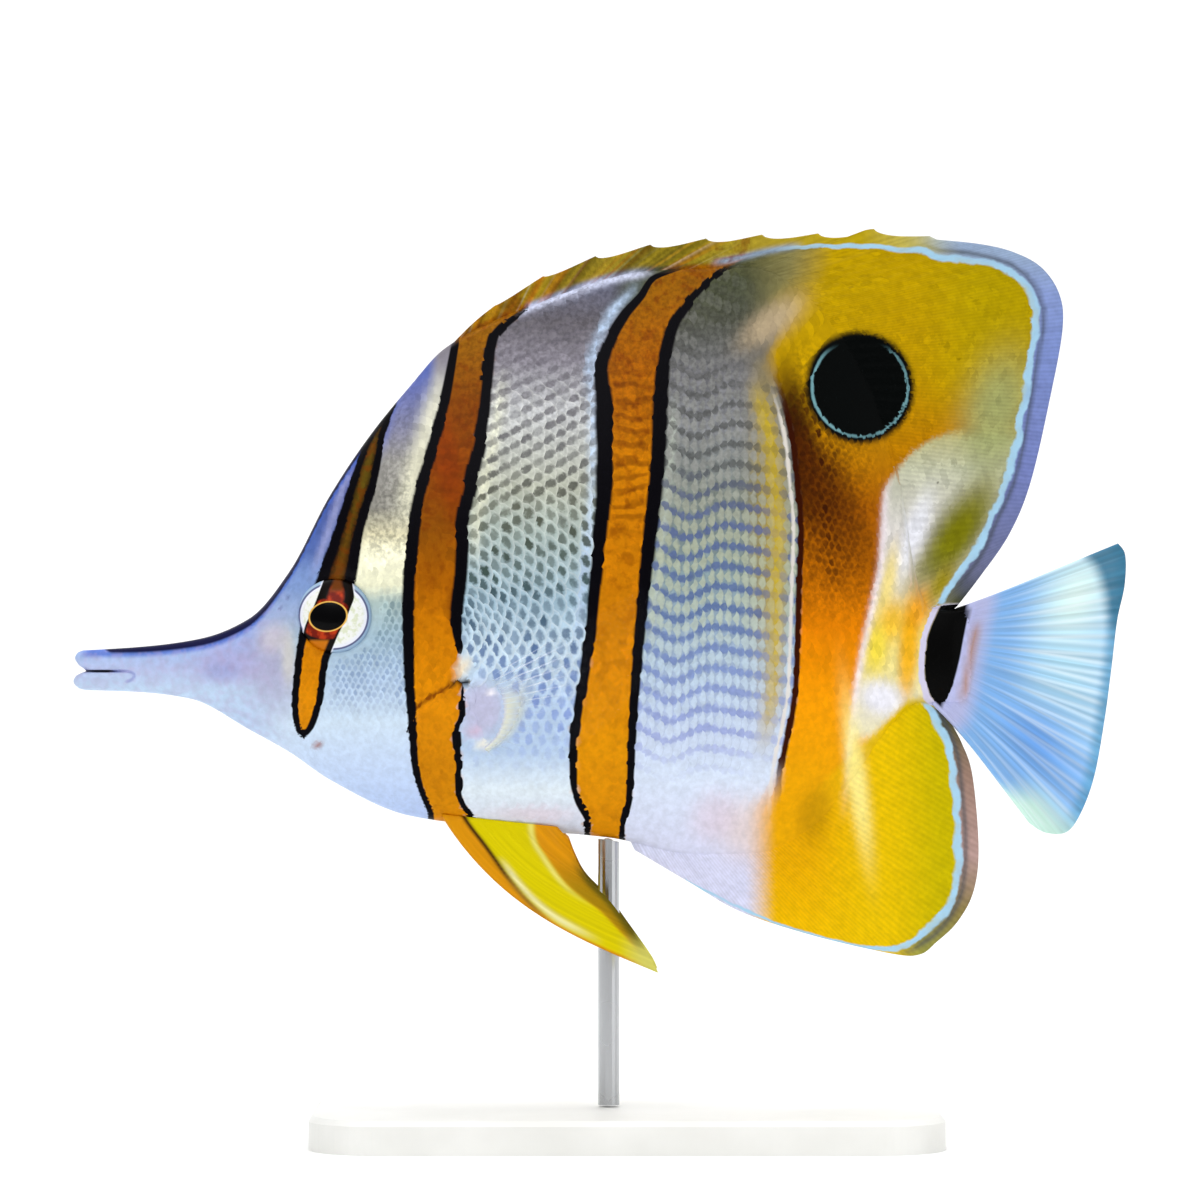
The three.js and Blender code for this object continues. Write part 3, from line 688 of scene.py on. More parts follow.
def dabs(x, z, rows):
    """A layer from each row of chip, strength and a patch's centre, size, turn and power."""
    return [(chip, strength * patch(x, z, *place)) for chip, strength, *place in rows]


def lay_over(colour, layers):
    """Layers over a ground in their order. Each is a chip, or a colour for each point, with its share."""
    for chip, share in layers:
        target = chip if np.ndim(chip) > 1 else pigment(*chip)
        colour = blend(colour, target, np.clip(share, 0, 1)[..., None])
    return colour


print("a patch is", round(float(patch(1.0, 0.0, (0, 0), (1, 1))), 2), "strong at its half size")

# %% [markdown]
# The head goes from a dark blue forehead through a cream nape to a pale snout with a lilac bloom. Each
# ground is a row of paint chips down the side, because the photo's tones change mostly with height. Small
# dabs, the mouth's line and the nostrils come over them.

# %% Wash of the head
FRONT_FLANK = chips(
    (-24, (208, 216, 236)), (-18, (216, 228, 238)), (-12, (178, 200, 228)), (-4, (182, 204, 230)),
    (2, (192, 214, 232)), (10, (160, 188, 206)), (20, (168, 184, 180)), (27, (182, 186, 170)),
    (38, (192, 194, 196)), (46, (136, 132, 142)), (52, (96, 92, 98)), (58, (96, 98, 118)),
)
NAPE = chips(
    (-22, (176, 196, 236)), (-14, (192, 210, 238)), (-8, (200, 218, 236)), (-2, (180, 202, 226)),
    (5, (160, 186, 202)), (10, (172, 192, 190)), (12.5, (236, 236, 206)), (17, (248, 246, 216)),
    (20, (206, 200, 168)), (24, (140, 138, 130)), (31, (152, 150, 146)), (35, (130, 130, 150)),
    (42, (98, 108, 168)), (46, (76, 98, 176)),
)
FOREHEAD = chips(
    (4, (164, 178, 214)), (9, (150, 170, 208)), (12, (126, 152, 202)), (14.5, (120, 146, 200)),
    (17.5, (82, 106, 172)), (24, (70, 88, 156)), (30, (64, 80, 160)), (40, (30, 40, 112)),
)
SNOUT = chips(
    (-9, (182, 202, 232)), (-3, (186, 208, 234)), (0, (178, 190, 226)), (2, (164, 186, 226)),
    (5, (150, 170, 220)),
)
SNOUT_DABS = [
    ((168, 158, 190), 0.6, (30, -0.5), (4.2, 6), 0.3),
    ((168, 160, 206), 0.6, (23, 1), (4.5, 3)),
    ((150, 160, 208), 0.6, (22.5, -0.4), (2.8, 1.5)),
    ((212, 206, 190), 0.6, (32.6, 1.5), (1.1, 4)),
    ((214, 200, 200), 0.55, (30.4, 4.6), (2.6, 2.4), 0.4),
]
SHOULDER_DABS = [
    ((150, 96, 84), 0.8, (36.9, -11.3), (0.75, 0.55), 0.4),
    ((186, 184, 212), 0.9, (61.6, -5.9), (3.4, 4.2), 0.1, 2.5),
    ((216, 176, 200), 0.6, (60.2, -9.3), (1.3, 0.9)),
    ((248, 244, 250), 0.9, (62.9, -3.4), (0.8, 0.5)),
    ((240, 236, 220), 0.9, (61.6, -11.2), (1.3, 0.8)),
    ((216, 200, 214), 0.6, (69, -21.6), (6.5, 1.3)),
]
NOSTRILS = [[32.4, 10.6], [31.3, 9.1]]
MOUTH_FOLD = [[6, -0.35], [8.4, -0.4], [9.3, -0.9], [8.9, -1.6], [8.2, -1.9]]
MOUTH_LEVEL = -0.35


def head_layers(x, z):
    """Nape, forehead and snout over the flank's ground, then the mouth, the nostrils and the crown's glow."""
    front, ahead = behind(eye_band_front, x, z), behind(cheek_band_front, x, z)
    nostril = np.minimum(*[np.hypot(x - nx, z - nz) for nx, nz in NOSTRILS])
    mouth = step(0.26 - np.abs(z - MOUTH_LEVEL), 0, 0.16) * fade(x, 5.2, 6.2)
    below_crown = back_line(x) - z - crown_depth(x)
    return [
        (shade_along(z, NAPE), fade(x, 53, 55)),
        (shade_along(z, FOREHEAD), fade(front, 0, 1) * step(z, 3, 9)),
        ((164, 168, 206), 0.6 * soft_line(front, -0.7, 0.7) * window(z, 12, 18, 30, 36)),
        # painted highlight: a pale cream line just ahead of the cheek band, where light catches the scales
        ((236, 234, 206), 0.75 * soft_line(ahead, -1.5, 1.6) * window(z, 19, 27, 38, 46)),
        ((104, 116, 186), 0.7 * patch(x, z, (46.4, 35.5), (1.3, 5), -0.3)),
        (shade_along(z, SNOUT), fade(x, 26, 33) * fade(z, 6, 12)),
        *dabs(x, z, SNOUT_DABS),
        ((128, 134, 196), 0.6 * step(0.7 - near(MOUTH_FOLD, x, z), 0.32, 0.6)),
        ((72, 80, 132), 0.5 * fade(nostril, 0.15, 0.45)),
        ((20, 16, 44), mouth * blend(0.5, 1, step(x, 2.6, 3.6))),
        *dabs(x, z, SHOULDER_DABS),
        ((60, 96, 190), 0.8 * fade(below_crown, 0.1, 1.0) * window(x, 0.4, 2.6, 46, 50)),
    ]


print("the head's wash has", len(head_layers(np.zeros(1), np.zeros(1))), "layers")

# %% [markdown]
# Orange fills the bands, deeper towards the back, olive over the eye, and split on the gill cover by a
# fine crease, painted as a dark line of shade, with the gill's opening painted black as shade. Pale lines lie
# along their edges, where light catches the scales. The fill could be one colour, but the photo's bands turn
# from bright orange at the belly to brown at the back.

# %% Wash of the bands
CHEEK_ORANGE = chips(
    (-24, (208, 134, 4)), (-14, (200, 126, 4)), (-5, (220, 138, 4)), (5, (206, 124, 2)), (13, (168, 94, 2)),
    (20, (142, 80, 4)), (30, (138, 66, 2)), (40, (132, 68, 4)), (48, (142, 88, 10)), (56, (152, 98, 4)),
)
FLANK_ORANGE = chips(
    (-24, (212, 136, 4)), (-12, (220, 144, 2)), (0, (214, 134, 2)), (10, (196, 120, 4)), (20, (204, 124, 4)),
    (30, (204, 124, 2)), (38, (178, 102, 2)), (46, (162, 90, 2)), (56, (146, 90, 4)),
)
BROW = chips(
    (11, (112, 62, 12)), (17, (96, 64, 8)), (28, (92, 74, 14)), (36, (84, 62, 12)), (42, (48, 36, 16)),
)
GILL_LINE = [[57.6, -1.8], [55, -3.4], [51.2, -5.9]]


def band_layers(x, z, fields):
    """Orange inside the bands, then the marks on them, painted shade in the gill's crease and opening, and
    the pale lines beside them.
    """
    band = fields["band"]
    inside = step(band, -0.3, 0.3)
    over_eye = inside * fade(x, 50, 51) * step(z, 9, 12)
    orange = blend(shade_along(z, CHEEK_ORANGE), shade_along(z, FLANK_ORANGE), step(x, 70, 72)[..., None])
    slot = fade(np.abs(z + 2.0 + 0.08 * (x - 59)) - 0.6 * np.clip((61.8 - x) / 4, 0, 1), -0.12, 0.14)
    after_cheek = behind(cheek_band_back, x, z)
    before_flank, after_flank = behind(flank_band_front, x, z), behind(flank_band_back, x, z)
    return [
        ((170, 144, 26), 0.7 * patch(x, z, (103.5, 22), (3.2, 26)) * step(x, 98, 104)),
        *dabs(x, z, [
            ((226, 196, 176), 0.55, (102, -24), (5, 5), -0.5),
            ((214, 192, 206), 0.5, (96, -22), (3.5, 4), -0.5),
        ]),
        ((196, 168, 30), 0.85 * soft_line(fields["rear_band"], -3.3, 1.3) * window(z, -14, -4, 38, 44)),
        (orange, inside),
        ((140, 48, 0), 0.6 * step(band, 0, 1) * patch(x, z, (56.5, 30), (2.2, 10), 0.2)),
        (shade_along(z, BROW), over_eye),
        ((8, 5, 6), 0.9 * over_eye * fade(band, 0.8, 2.2)),
        ((96, 40, 4), 0.8 * patch(x, z, (57.4, 9), (0.9, 3.6)) * inside),
        # painted shade: a dark line in the gill cover's crease
        ((100, 38, 0), 0.85 * fade(near(GILL_LINE, x, z), 0.15, 0.4) * inside),
        ((236, 226, 204), patch(x, z, (58.7, 0.2), (1.0, 1.8), -0.45, 2)),
        # painted shade: the gill's opening in front of the pectoral fin, painted black
        ((4, 3, 6), slot * window(x, 56.4, 57.2, 60.6, 61.6)),
        ((234, 234, 208), 0.7 * soft_line(after_cheek, 2, 0.9) * window(z, 14, 22, 38, 46)),
        ((184, 206, 234), 0.85 * soft_line(before_flank, -1.7, 0.7) * window(z, 0, 10, 54, 59)),
        ((196, 204, 188), 0.6 * soft_line(after_flank, 1.9, 0.7) * window(z, 2, 8, 36, 42)),
    ]


print("orange at the belly and at the back:", CHEEK_ORANGE[1][0].round(2), CHEEK_ORANGE[1][-1].round(2))

# %% [markdown]
# Behind its third band the fish turns gold, with a brown smear in front, a pearly patch over the tail root
# and yellow down to the anal fin. The smears are patches turned to lie along the body's lines, since no
# straight edge bounds them.

# %% Wash of the rear
REAR_FLANK = chips(
    (-29, (208, 210, 236)), (-16, (210, 222, 242)), (-6, (176, 192, 222)), (4, (148, 168, 192)),
    (14, (128, 148, 154)), (26, (120, 128, 122)), (36, (130, 132, 136)), (44, (114, 114, 118)),
    (52, (76, 78, 66)), (58, (70, 74, 54)), (62, (84, 84, 50)),
)
REAR_GOLD = chips(
    (-42, (234, 186, 0)), (-30, (224, 166, 0)), (-16, (230, 160, 0)), (-4, (240, 152, 0)), (6, (218, 124, 0)),
    (14, (176, 98, 0)), (24, (166, 92, 0)), (34, (180, 122, 0)), (46, (186, 146, 0)), (58, (186, 152, 0)),
)
REAR_PALE = chips(
    (-12, (236, 228, 180)), (-7, (226, 220, 196)), (0, (228, 214, 140)), (6, (230, 206, 110)),
    (12, (218, 208, 180)), (20, (208, 204, 202)), (30, (188, 190, 164)), (36, (176, 170, 110)),
)
REAR_DABS = [
    ((152, 160, 104), 0.9, (138.5, 38), (5, 9), -0.25),
    ((116, 114, 8), 1.0, (132.4, 20), (4.0, 11), -0.6, 2),
    ((234, 236, 246), 0.85, (126, 20), (1.8, 6.5), -0.35),
    ((236, 214, 120), 0.8, (121.9, 12.5), (1.2, 6), -0.2),
    ((238, 186, 40), 0.9, (122.6, 7.2), (2.0, 3.2), -0.3),
    ((240, 216, 60), 0.9, (120.2, 3), (1.7, 3.6), -0.1),
    ((234, 172, 12), 0.95, (125.1, 3.2), (1.5, 8.2), -0.06, 2),
    ((230, 154, 4), 0.9, (126.9, 9.0), (1.8, 3.4), -0.4),
    ((150, 134, 6), 0.95, (130.2, 12.6), (1.6, 3.4), -0.5),
    ((232, 232, 244), 0.95, (121, -4.3), (3.5, 2.6), -0.3, 2),
]
ANAL_DABS = [
    ((246, 232, 140), 0.9, (117.4, -16), (1.5, 12), 0.14),
    ((160, 120, 0), 0.55, (111.1, -21.9), (2.6, 4.6), -0.15),
]
gold_edge = smooth_line([[40, 106], [46.7, 104.3], [50, 106], [54.7, 109], [59, 112.6], [64, 114]])


def rear_layers(x, z, fields):
    """Gold behind the third band, the smears in front of it, a painted highlight at the gold's upper edge,
    the pearly patch, and yellow below the body.
    """
    rear, pale = fields["rear_band"], behind(rear_band_back, x, z)
    into_rear = step(rear / blend(1, 10, step(-z, 12, 21)) + 0.25 * step(-z, 14, 22), -0.25, 0.25)
    from_gold = x - gold_edge(z)
    ahead_of_gold = fade(fields["band"], -0.3, 0.3) * step(x, 88, 92) * fade(from_gold, -1, 1)
    gold = shade_along(z, REAR_GOLD)
    foot = fade(z + 4.6 + 0.95 * np.maximum(125.2 - x, 0), -0.8, 0.8) * step(rear, 0, 6)
    return [
        (gold, into_rear),
        (shade_along(z, REAR_FLANK), step(z, 45, 48) * ahead_of_gold),
        ((136, 128, 78), 0.85 * step(x, 100, 108) * step(z, 50, 54) * ahead_of_gold),
        (gold, step(from_gold, -1.5 - 5 * step(z, 50, 56), 1.5) * step(z, 40, 46)),
        # painted highlight: a beige sheen along the gold's upper front edge
        ((182, 162, 130), 0.9 * patch(x, z, (104.6, 51.8), (5.8, 2.4), 0.67)),
        ((34, 6, 0), 0.97 * into_rear * patch(x, z, (108.6, 33), (2.9, 13), 0.16, 2)),
        ((60, 20, 0), 0.9 * into_rear * patch(x, z, (111.4, 28), (3.6, 9), 0.56, 1.2)),
        ((110, 56, 0), 0.6 * into_rear * patch(x, z, (114, 24), (4.5, 11), 0.4)),
        ((172, 150, 0), 0.8 * step(x, 124, 138) * step(z, 34, 44)),
        (shade_along(z, REAR_PALE), step(pale, -0.3, 0.5) * window(z, -12, -9, 34, 37)),
        *dabs(x, z, REAR_DABS),
        ((238, 226, 232), 0.8 * soft_line(pale, 0.3, 0.5) * window(z, -24, -12, 24, 30)),
        ((224, 186, 2), foot * step(x, 108, 122)),
        ((192, 174, 0), foot * step(x, 121, 131)),
        *dabs(x, z, ANAL_DABS),
    ]


print("gold starts between x", round(float(gold_edge(46.7))), "and", round(float(gold_edge(64.0))), "mm")

# %% [markdown]
# Past the blue line the fins' margins turn lilac above and brown below, and the spiny fin's foot runs
# along the back, with painted highlights along the back's crest and the fin's foot. Then one function lays
# the whole wash, and another writes it on a piece together with the crisp fields.

# %% Wash of the margins
MARGIN_ABOVE = chips(
    (10, (60, 64, 44)), (15, (104, 108, 140)), (30, (114, 126, 184)), (48, (122, 140, 198)),
    (56, (132, 150, 202)), (62, (146, 166, 196)),
)
MARGIN_BELOW = chips(
    (-43, (150, 150, 70)), (-36, (132, 116, 70)), (-28, (176, 146, 140)), (-16, (150, 122, 108)),
    (-8, (84, 82, 50)),
)
SPINY = chips(
    (56, (168, 116, 8)), (70, (140, 116, 20)), (80, (148, 128, 34)), (92, (136, 118, 24)),
    (104, (168, 146, 40)), (118, (184, 158, 12)), (130, (186, 180, 104)),
)
foot_line = smooth_line([[90, 60.2], [98, 61.2], [104, 62.6], [109, 63.5]])
SMEAR_AT = 134.2
SMEAR_LEAN = 0.2


def tail_smear(x, z):
    """Share of the warm smear behind the tail's bar: exp(-(d / 0.65)^2) from its leaning line."""
    away = (x - SMEAR_AT - SMEAR_LEAN * z) / np.hypot(1, SMEAR_LEAN)
    return 0.8 * soft_line(away, 0, 0.65) * window(z, -6, -3, 5, 8)


def margin_layers(x, z, fields):
    """Margins beyond the blue line, lilac on the tail root, and the spiny fin's yellow with its foot line,
    plus painted highlights along the back's crest and the fin's foot.
    """
    stripe, rim = fields["stripe"], z - back_line(x)
    beyond = step(stripe, -0.2, 0.4)
    above, below = step(z, 9.4, 10) * step(x, 120, 130), fade(z, -6.4, -5.4) * step(x, 122, 128)
    either = np.maximum(above, below)
    ridge = step(rim, 0.2, 0.8) * window(x, 56, 60, 124, 134) * step(stripe, -0.3, 0.3)
    lit = soft_line(rim, -0.5, 0.7) * fade(fields["band"], -0.3, 0.3)
    return [
        (shade_along(z, MARGIN_ABOVE), beyond * above),
        (shade_along(z, MARGIN_BELOW), beyond * below),
        ((70, 76, 84), 0.7 * soft_line(stripe, 1.9, 0.7) * either),
        ((182, 186, 226), step(x, 129.8, 130.6) * (1 - either)),
        ((176, 132, 104), tail_smear(x, z)),
        (shade_along(x, SPINY), np.where(x < 96, step(rim, 0.0, 0.8) * step(x, 56, 60), ridge)),
        # painted highlight: a pale lilac line along the back's crest under the spiny fin, where light catches
        # it
        ((206, 212, 238), 0.9 * lit * window(x, 62, 66, 84, 88)),
        # painted highlight: a grey-blue line along the spiny fin's foot
        ((140, 160, 184), 0.9 * soft_line(z - foot_line(x), 0, 0.5) * window(x, 95, 98, 107, 110)),
    ]


def wash(x, z):
    """All layers over the front flank's ground, in linear light, one row of three per point."""
    fields = band_fields(x, z)
    colour = lay_over(shade_along(z, FRONT_FLANK), [(shade_along(z, REAR_FLANK), step(x, 80, 84))])
    colour = lay_over(colour, head_layers(x, z))
    for layers in (band_layers, rear_layers, margin_layers):
        colour = lay_over(colour, layers(x, z, fields))
    return colour


def write_wash(piece, colour):
    """Write a colour for each point, opaque, as the attribute that every finish of the fish reads."""
    write_field(piece, "wash", np.concatenate([colour, np.ones((len(colour), 1))], axis=1), "FLOAT_COLOR")


def paint(piece, x, z, colour=None):
    """Write the wash and the crisp fields of the points (x, z) on a piece."""
    for name, values in band_fields(x, z).items():
        write_field(piece, name, values)
    write_wash(piece, wash(x, z) if colour is None else colour)


print("wash at the shoulder, in linear light:", wash(np.array([70.0]), np.array([11.0]))[0].round(2))

# %% [markdown]
# The skin's finish lays the crisp marks over the wash: the black edges of the bands, the white and dark
# lines of the rear band, the blue stripe of the fins, the bar of the tail root and the false eye. Scales
# add their own cells, with a painted highlight or a painted shadow along their free edges. A painted picture
# would do for one view, but each mark here is a ramp of its field, so it keeps a clean edge however close the
# camera comes.

# %% Finish of skin and scales
INK = (4, 3, 8)
SKIN_SHINE = 0.04
RAY_STREAK = 0.055
STREAKS_PER_RAY = 4
BAR_SPACING = 0.0022
SKIN_GRAIN = (2600, 2)
GRAIN_DEPTH = 0.00004


def scale_marks(made, colour, where):
    """A scale's spot, inside u^2 + v^2 + cloud = 1, and then its rim: pale as a painted highlight, or dark as
    a painted shadow.
    """
    u, v, rim = made.split(made.attribute("in_spot", "Vector"))
    spread = made.calc("ADD", made.calc("POWER", u, 2.0), made.calc("POWER", v, 2.0))
    spread = made.calc("ADD", spread, made.cloud(where, 1500, 2, 0.3, 0.7, -0.5, 0.5))
    spot = made.times(made.ramp(spread, 1.7, 0.3), made.attribute("cell", "Alpha"))
    colour = made.mix(spot, colour, made.attribute("cell", "Color"))
    return made.lay(colour, [
        # painted highlight: a pale rim on the scale's free edge, where light catches it
        ((246, 246, 240), made.times(made.ramp(rim, 0.7, 0.97), 0.42)),
        # painted shadow: a dark rim along the free edge of the rear rows' scales
        ((118, 128, 150), made.times(made.ramp(rim, -0.8, -0.97), 0.4)),
    ])


def ground_marks(made, colour, where):
    """Lilac mottling on the snout, the navy crown, and embers and brown bars inside the orange bands."""
    x, _, height = made.split(where)
    band = made.attribute("band")
    wobble = made.cloud(where, 260, 2, 0.3, 0.7, -1.6, 1.6)
    bar_phase = made.calc("ADD", made.times(height, 2 * np.pi / BAR_SPACING), wobble)
    mottling = made.cloud(where, 800, 4, 0.42, 0.62, 0.0, 0.28)
    ember = made.times(made.cloud(where, 620, 5, 0.48, 0.66), made.ramp(band, 0.9, 1.6))
    bars = made.times(made.ramp(made.calc("SINE", bar_phase), -0.3, 0.9), made.attribute("bars"))
    return made.lay(colour, [
        ((166, 150, 186), made.times(mottling, made.ramp(x, -0.044, -0.052))),
        ((10, 12, 56), made.times(made.ramp(made.attribute("crown"), 0.2, -0.3), made.ramp(band, 0.3, -0.3))),
        ((116, 46, 0), made.times(ember, made.ramp(height, 0.066, 0.1, 0.16, 0.5))),
        ((104, 46, 0), made.times(bars, 0.5)),
    ])


def fine_tone(made, colour, where):
    """The colour times a tone: a slow cloud around 1, plus a sine across the rays, less the dark grain."""
    grain = made.times(made.cloud(where, 1600, 4, 0.32, 0.68, 0.6, -0.6), made.attribute("speckle"))
    streak = made.calc("SINE", made.times(made.attribute("ray_number"), 2 * np.pi * STREAKS_PER_RAY))
    tone = made.calc("ADD", made.cloud(where, 900, 3, 0.3, 0.7, 0.95, 1.05), made.times(streak, RAY_STREAK))
    tone = made.calc("SUBTRACT", tone, grain)
    shade = made.tree.nodes.new("ShaderNodeCombineColor")
    for socket in shade.inputs:
        made.put(socket, tone)
    return made.mix(1.0, colour, shade.outputs[0], "MULTIPLY")


def crisp_marks(made, colour, where):
    """The blue line, the white and dark lines of the rear band, the false eye, the tail's bar and the ink."""
    height = made.split(where)[2]
    rear, ocellus = made.attribute("rear_band"), made.attribute("ocellus")
    wavy = made.calc("ADD", made.attribute("stripe"), made.cloud(where, 300, 3, 0.3, 0.7, -0.55, 0.55))
    blue = made.times(made.line(wavy, 0.0, 1.35, 0.6), made.cloud(where, 260, 4, 0.3, 0.6, 0.72, 1.0))
    white = made.times(made.line(rear, -1.1, 0.42, 0.1), made.ramp(height, 0.046, 0.060))
    dark = made.times(made.line(rear, 0.0, 0.62, 0.3), made.ramp(height, 0.049, 0.058))
    ring = made.times(made.line(ocellus, 7.4, 0.3, 0.06), made.cloud(where, 180, 2, 0.35, 0.6, 0.45, 1.0))
    ink = made.line(made.attribute("band"), 0.0, 1.2, 0.8)
    return made.lay(colour, [
        ((164, 206, 232), made.times(blue, made.attribute("stripe_near"))),
        ((226, 220, 212), made.times(white, made.ramp(height, 0.114, 0.106), 0.85)),
        ((52, 14, 0), made.times(dark, made.ramp(height, 0.117, 0.108))),
        ((2, 4, 4), made.ramp(ocellus, 9.1, 7.8)),
        ((112, 158, 166), made.times(ring, made.ramp(height, 0.1195, 0.1165))),
        ((206, 202, 228), made.line(made.attribute("tail_line"), -0.55, 0.6, 0.35)),
        ((3, 3, 3), made.ramp(made.attribute("tail_bar"), -0.25, 0.05)),
        (INK, made.times(ink, made.attribute("ends"))),
    ])


def skin_finish(name, has_scales):
    """The wash with all marks over it, satin, with a fine grain in relief."""
    made = Finish(name)
    where = made.place()
    colour = made.attribute("wash", "Color")
    if has_scales:
        colour = scale_marks(made, colour, where)
    for marks in (ground_marks, fine_tone, crisp_marks):
        colour = marks(made, colour, where)
    made.set(base_color=colour, roughness=0.4, specular_level=SKIN_SHINE)
    made.bump(made.noise(where, *SKIN_GRAIN), GRAIN_DEPTH, 0.5)
    return made.material


skin_material = skin_finish("fish_skin", False)
scale_material = skin_finish("fish_scales", True)
print("skin finish has", len(skin_material.node_tree.nodes), "nodes")

# %% [markdown]
# The head's forms are set into the skin as relief, in millimetres outwards: the gill cover's plate with
# the slit behind it, the raised rim and socket of the eye, the lips, the mouth line with its fold at the
# corner, the cheek's groove, and the fleshy root of the pectoral fin. A separate piece for each would
# leave seams.

# %% Relief of the head
EYE_AT = (39.7, 7.9)
EYE_RADIUS = 5.3
EYE_RIM = 0.38
SOCKET_DEPTH = 3
JAW_LENGTH = 9.6
GILL_PROUD = 0.35
FIN_ROOT = ((61.6, -5.6), (2.6, 3.9), 0.1)
FIN_ROOT_PROUD = 0.75
GILL_CENTRE = (46, 2)
gill_reach = smooth_line([
    [-125, 21.5], [-110, 19.1], [-92, 16], [-74.5, 12.8], [-53.6, 10.4], [-30, 11.8], [-16, 14.1],
    [-10, 14.5], [0, 13.8], [30, 13.9], [64, 17.3], [85, 20],
])
CHEEK_GROOVE = [[36, -13.5], [41.5, -11], [45.2, -5], [46.6, 2], [47.3, 9]]
lip_front = smooth_line([
    [-3.4, 2.6], [-2.9, 0.75], [-1.9, 0.02], [-1.05, 0.45], [-0.6, 1.3], [-0.35, 1.9], [-0.1, 1.7],
    [0.55, 0.85], [1.6, 0.25], [2.4, 0.65], [2.9, 1.9],
])


def gill_place(x, z):
    """Angle in degrees and distance of (x, z) round the gill cover's centre."""
    dx, dz = x - GILL_CENTRE[0], z - GILL_CENTRE[1]
    return np.degrees(np.arctan2(dz, dx)), np.hypot(dx, dz)


def gill_inside(x, z):
    """Distance within the gill cover's outline: its reach at this angle less the distance from its centre."""
    angle, away = gill_place(x, z)
    return gill_reach(angle) - away - 60 * (np.abs(angle + 30) > 95)


def gill_share(x, z):
    """1 where the gill cover's edge stands free, below and behind, and 0 above its rear point."""
    return fade(gill_place(x, z)[0], -12, 8)


def pectoral_bulge(x, z, power=2.0):
    """1 on the fleshy root of the pectoral fin, and 0 around it."""
    return patch(x, z, *FIN_ROOT, power)


def raised(x, z):
    """Height of the broad forms at (x, z), in mm: plate, rim of the eye less its socket, and fin root."""
    plate = GILL_PROUD * window(gill_inside(x, z), -0.3, 0.4, 2, 9) * gill_share(x, z)
    around = np.hypot(x - EYE_AT[0], z - EYE_AT[1])
    orbit = EYE_RIM * soft_line(around, EYE_RADIUS + 0.75, 0.55) - SOCKET_DEPTH * fade(around, 4.6, 5.55)
    return plate + orbit + FIN_ROOT_PROUD * pectoral_bulge(x, z)


def nostril_height(x, z, place):
    """A low rim, 0.1 exp(-((d - 0.55) / 0.2)^2), round a pit, 0.4 exp(-(d / 0.32)^2)."""
    away = np.hypot(x - place[0], z - place[1])
    return 0.1 * soft_line(away, 0.55, 0.2) - 0.4 * soft_line(away, 0, 0.32)


def carved(x, z):
    """Height of the fine lines and lips at (x, z), in millimetres, mostly below 0."""
    slit = -0.4 * soft_line(gill_inside(x, z), -0.35, 0.28) * gill_share(x, z)
    groove = -0.22 * soft_line(near(CHEEK_GROOVE, x, z), 0, 0.5)
    mouth = z - MOUTH_LEVEL
    lips = 0.2 * soft_line(np.abs(mouth), 0.75, 0.5) * fade(x, 4, 9)
    slot = -(1.9 * fade(x, 5.2, 7) + 0.25 * fade(x, 7, 8.2)) * soft_line(mouth, 0, 0.12)
    fold = -0.16 * soft_line(near(MOUTH_FOLD, x, z), 0, 0.2) * step(x, 6, 7)
    return slit + groove + lips + slot + fold + sum(nostril_height(x, z, place) for place in NOSTRILS)


print("the gill cover stands", GILL_PROUD, "mm proud, and the eye's socket is", SOCKET_DEPTH, "mm deep")

# %% [markdown]
# The skin is one closed surface from lips to tail root. Each column is a section of the body: rows run
# from the belly to the back, closer together near both edges, and the right side mirrors the left. The
# first column is drawn back at the mouth, which parts the two lips.

# %% Skin
LIP_ROUND = 1.5
HEAD_END = 62.0
HEAD_SPACING = 0.28
ROWS = 161
EDGE_CROWDING = 1.6
END_ROUND_FROM = 131
THINNEST_HALF = 0.05


def flank_points():
    """x, half thickness and z of the left side as (stations, rows) arrays. A row's share of the reach is
    1 - (1 - |t|)^1.6, and y is the flesh's half plus the relief, less the coat's depth."""
    station = np.concatenate([
        LIP_ROUND * np.linspace(0, 1, 11)[:-1] ** 2,
        np.arange(LIP_ROUND, HEAD_END, HEAD_SPACING),
        np.linspace(HEAD_END, FLESH_END, 86),
    ])[:, None]
    t = np.linspace(-1, 1, ROWS)[None, :]
    share = np.sign(t) * (1 - (1 - np.abs(t)) ** EDGE_CROWDING)
    level = wide_level(station)
    coat = COAT_DEPTH * step(station, 26, 33)
    top, low = back_line(station) - 0.5 * coat, belly_line(station) + 0.5 * coat
    z = level + share * np.where(share > 0, top - level, level - low)
    front = lip_front(z)
    x = station + front * np.clip(1 - station / JAW_LENGTH, 0, 1)
    half = flesh_half(station + 0 * z, np.clip(z, belly_line(station), back_line(station)))
    tip = np.sqrt(1 - (1 - np.clip(station / LIP_ROUND, 0, 1)) ** 2)
    end = 1 - np.clip((station - END_ROUND_FROM) / (FLESH_END - END_ROUND_FROM), 0, 1) ** 2
    flatness = np.sqrt(np.clip(1 - share**2, 0, 1))
    broad = half * tip - coat + raised(x, z) * flatness
    fine = broad + carved(x, z) * flatness
    thin = np.minimum(THINNEST_HALF, half)
    closed = np.where(tip * end > 0, 1, 0) * end
    return x, np.maximum(fine, thin) * closed, np.maximum(broad, thin) * closed, z


side_x, side_half, broad_half, side_z = flank_points()
left = in_model(side_x, -side_half, side_z)
right = in_model(side_x, side_half, side_z)[:, -2:0:-1]
loop = np.concatenate([left, right], axis=1)
skin = make_piece(
    "skin", loop, grid_quads(*loop.shape[:2]),
    ("upper_jaw", "lower_jaw", "snout", "head", "torso", "tail_base", "gill_cover_left", "gill_cover_right"),
    merge=True,
)
skin_x, _, skin_z = side_place(skin)
paint(skin, skin_x, skin_z)
skin.data.materials.append(skin_material)

# %% [markdown]
# The eye is a flattened dome in its socket, turned a little forwards. Its marks are fields too: the
# distance out of the pupil, and the distance into the dark band that crosses the iris. A ball with a
# painted disc would also do, but the fields keep the thin gold ring round the pupil sharp.

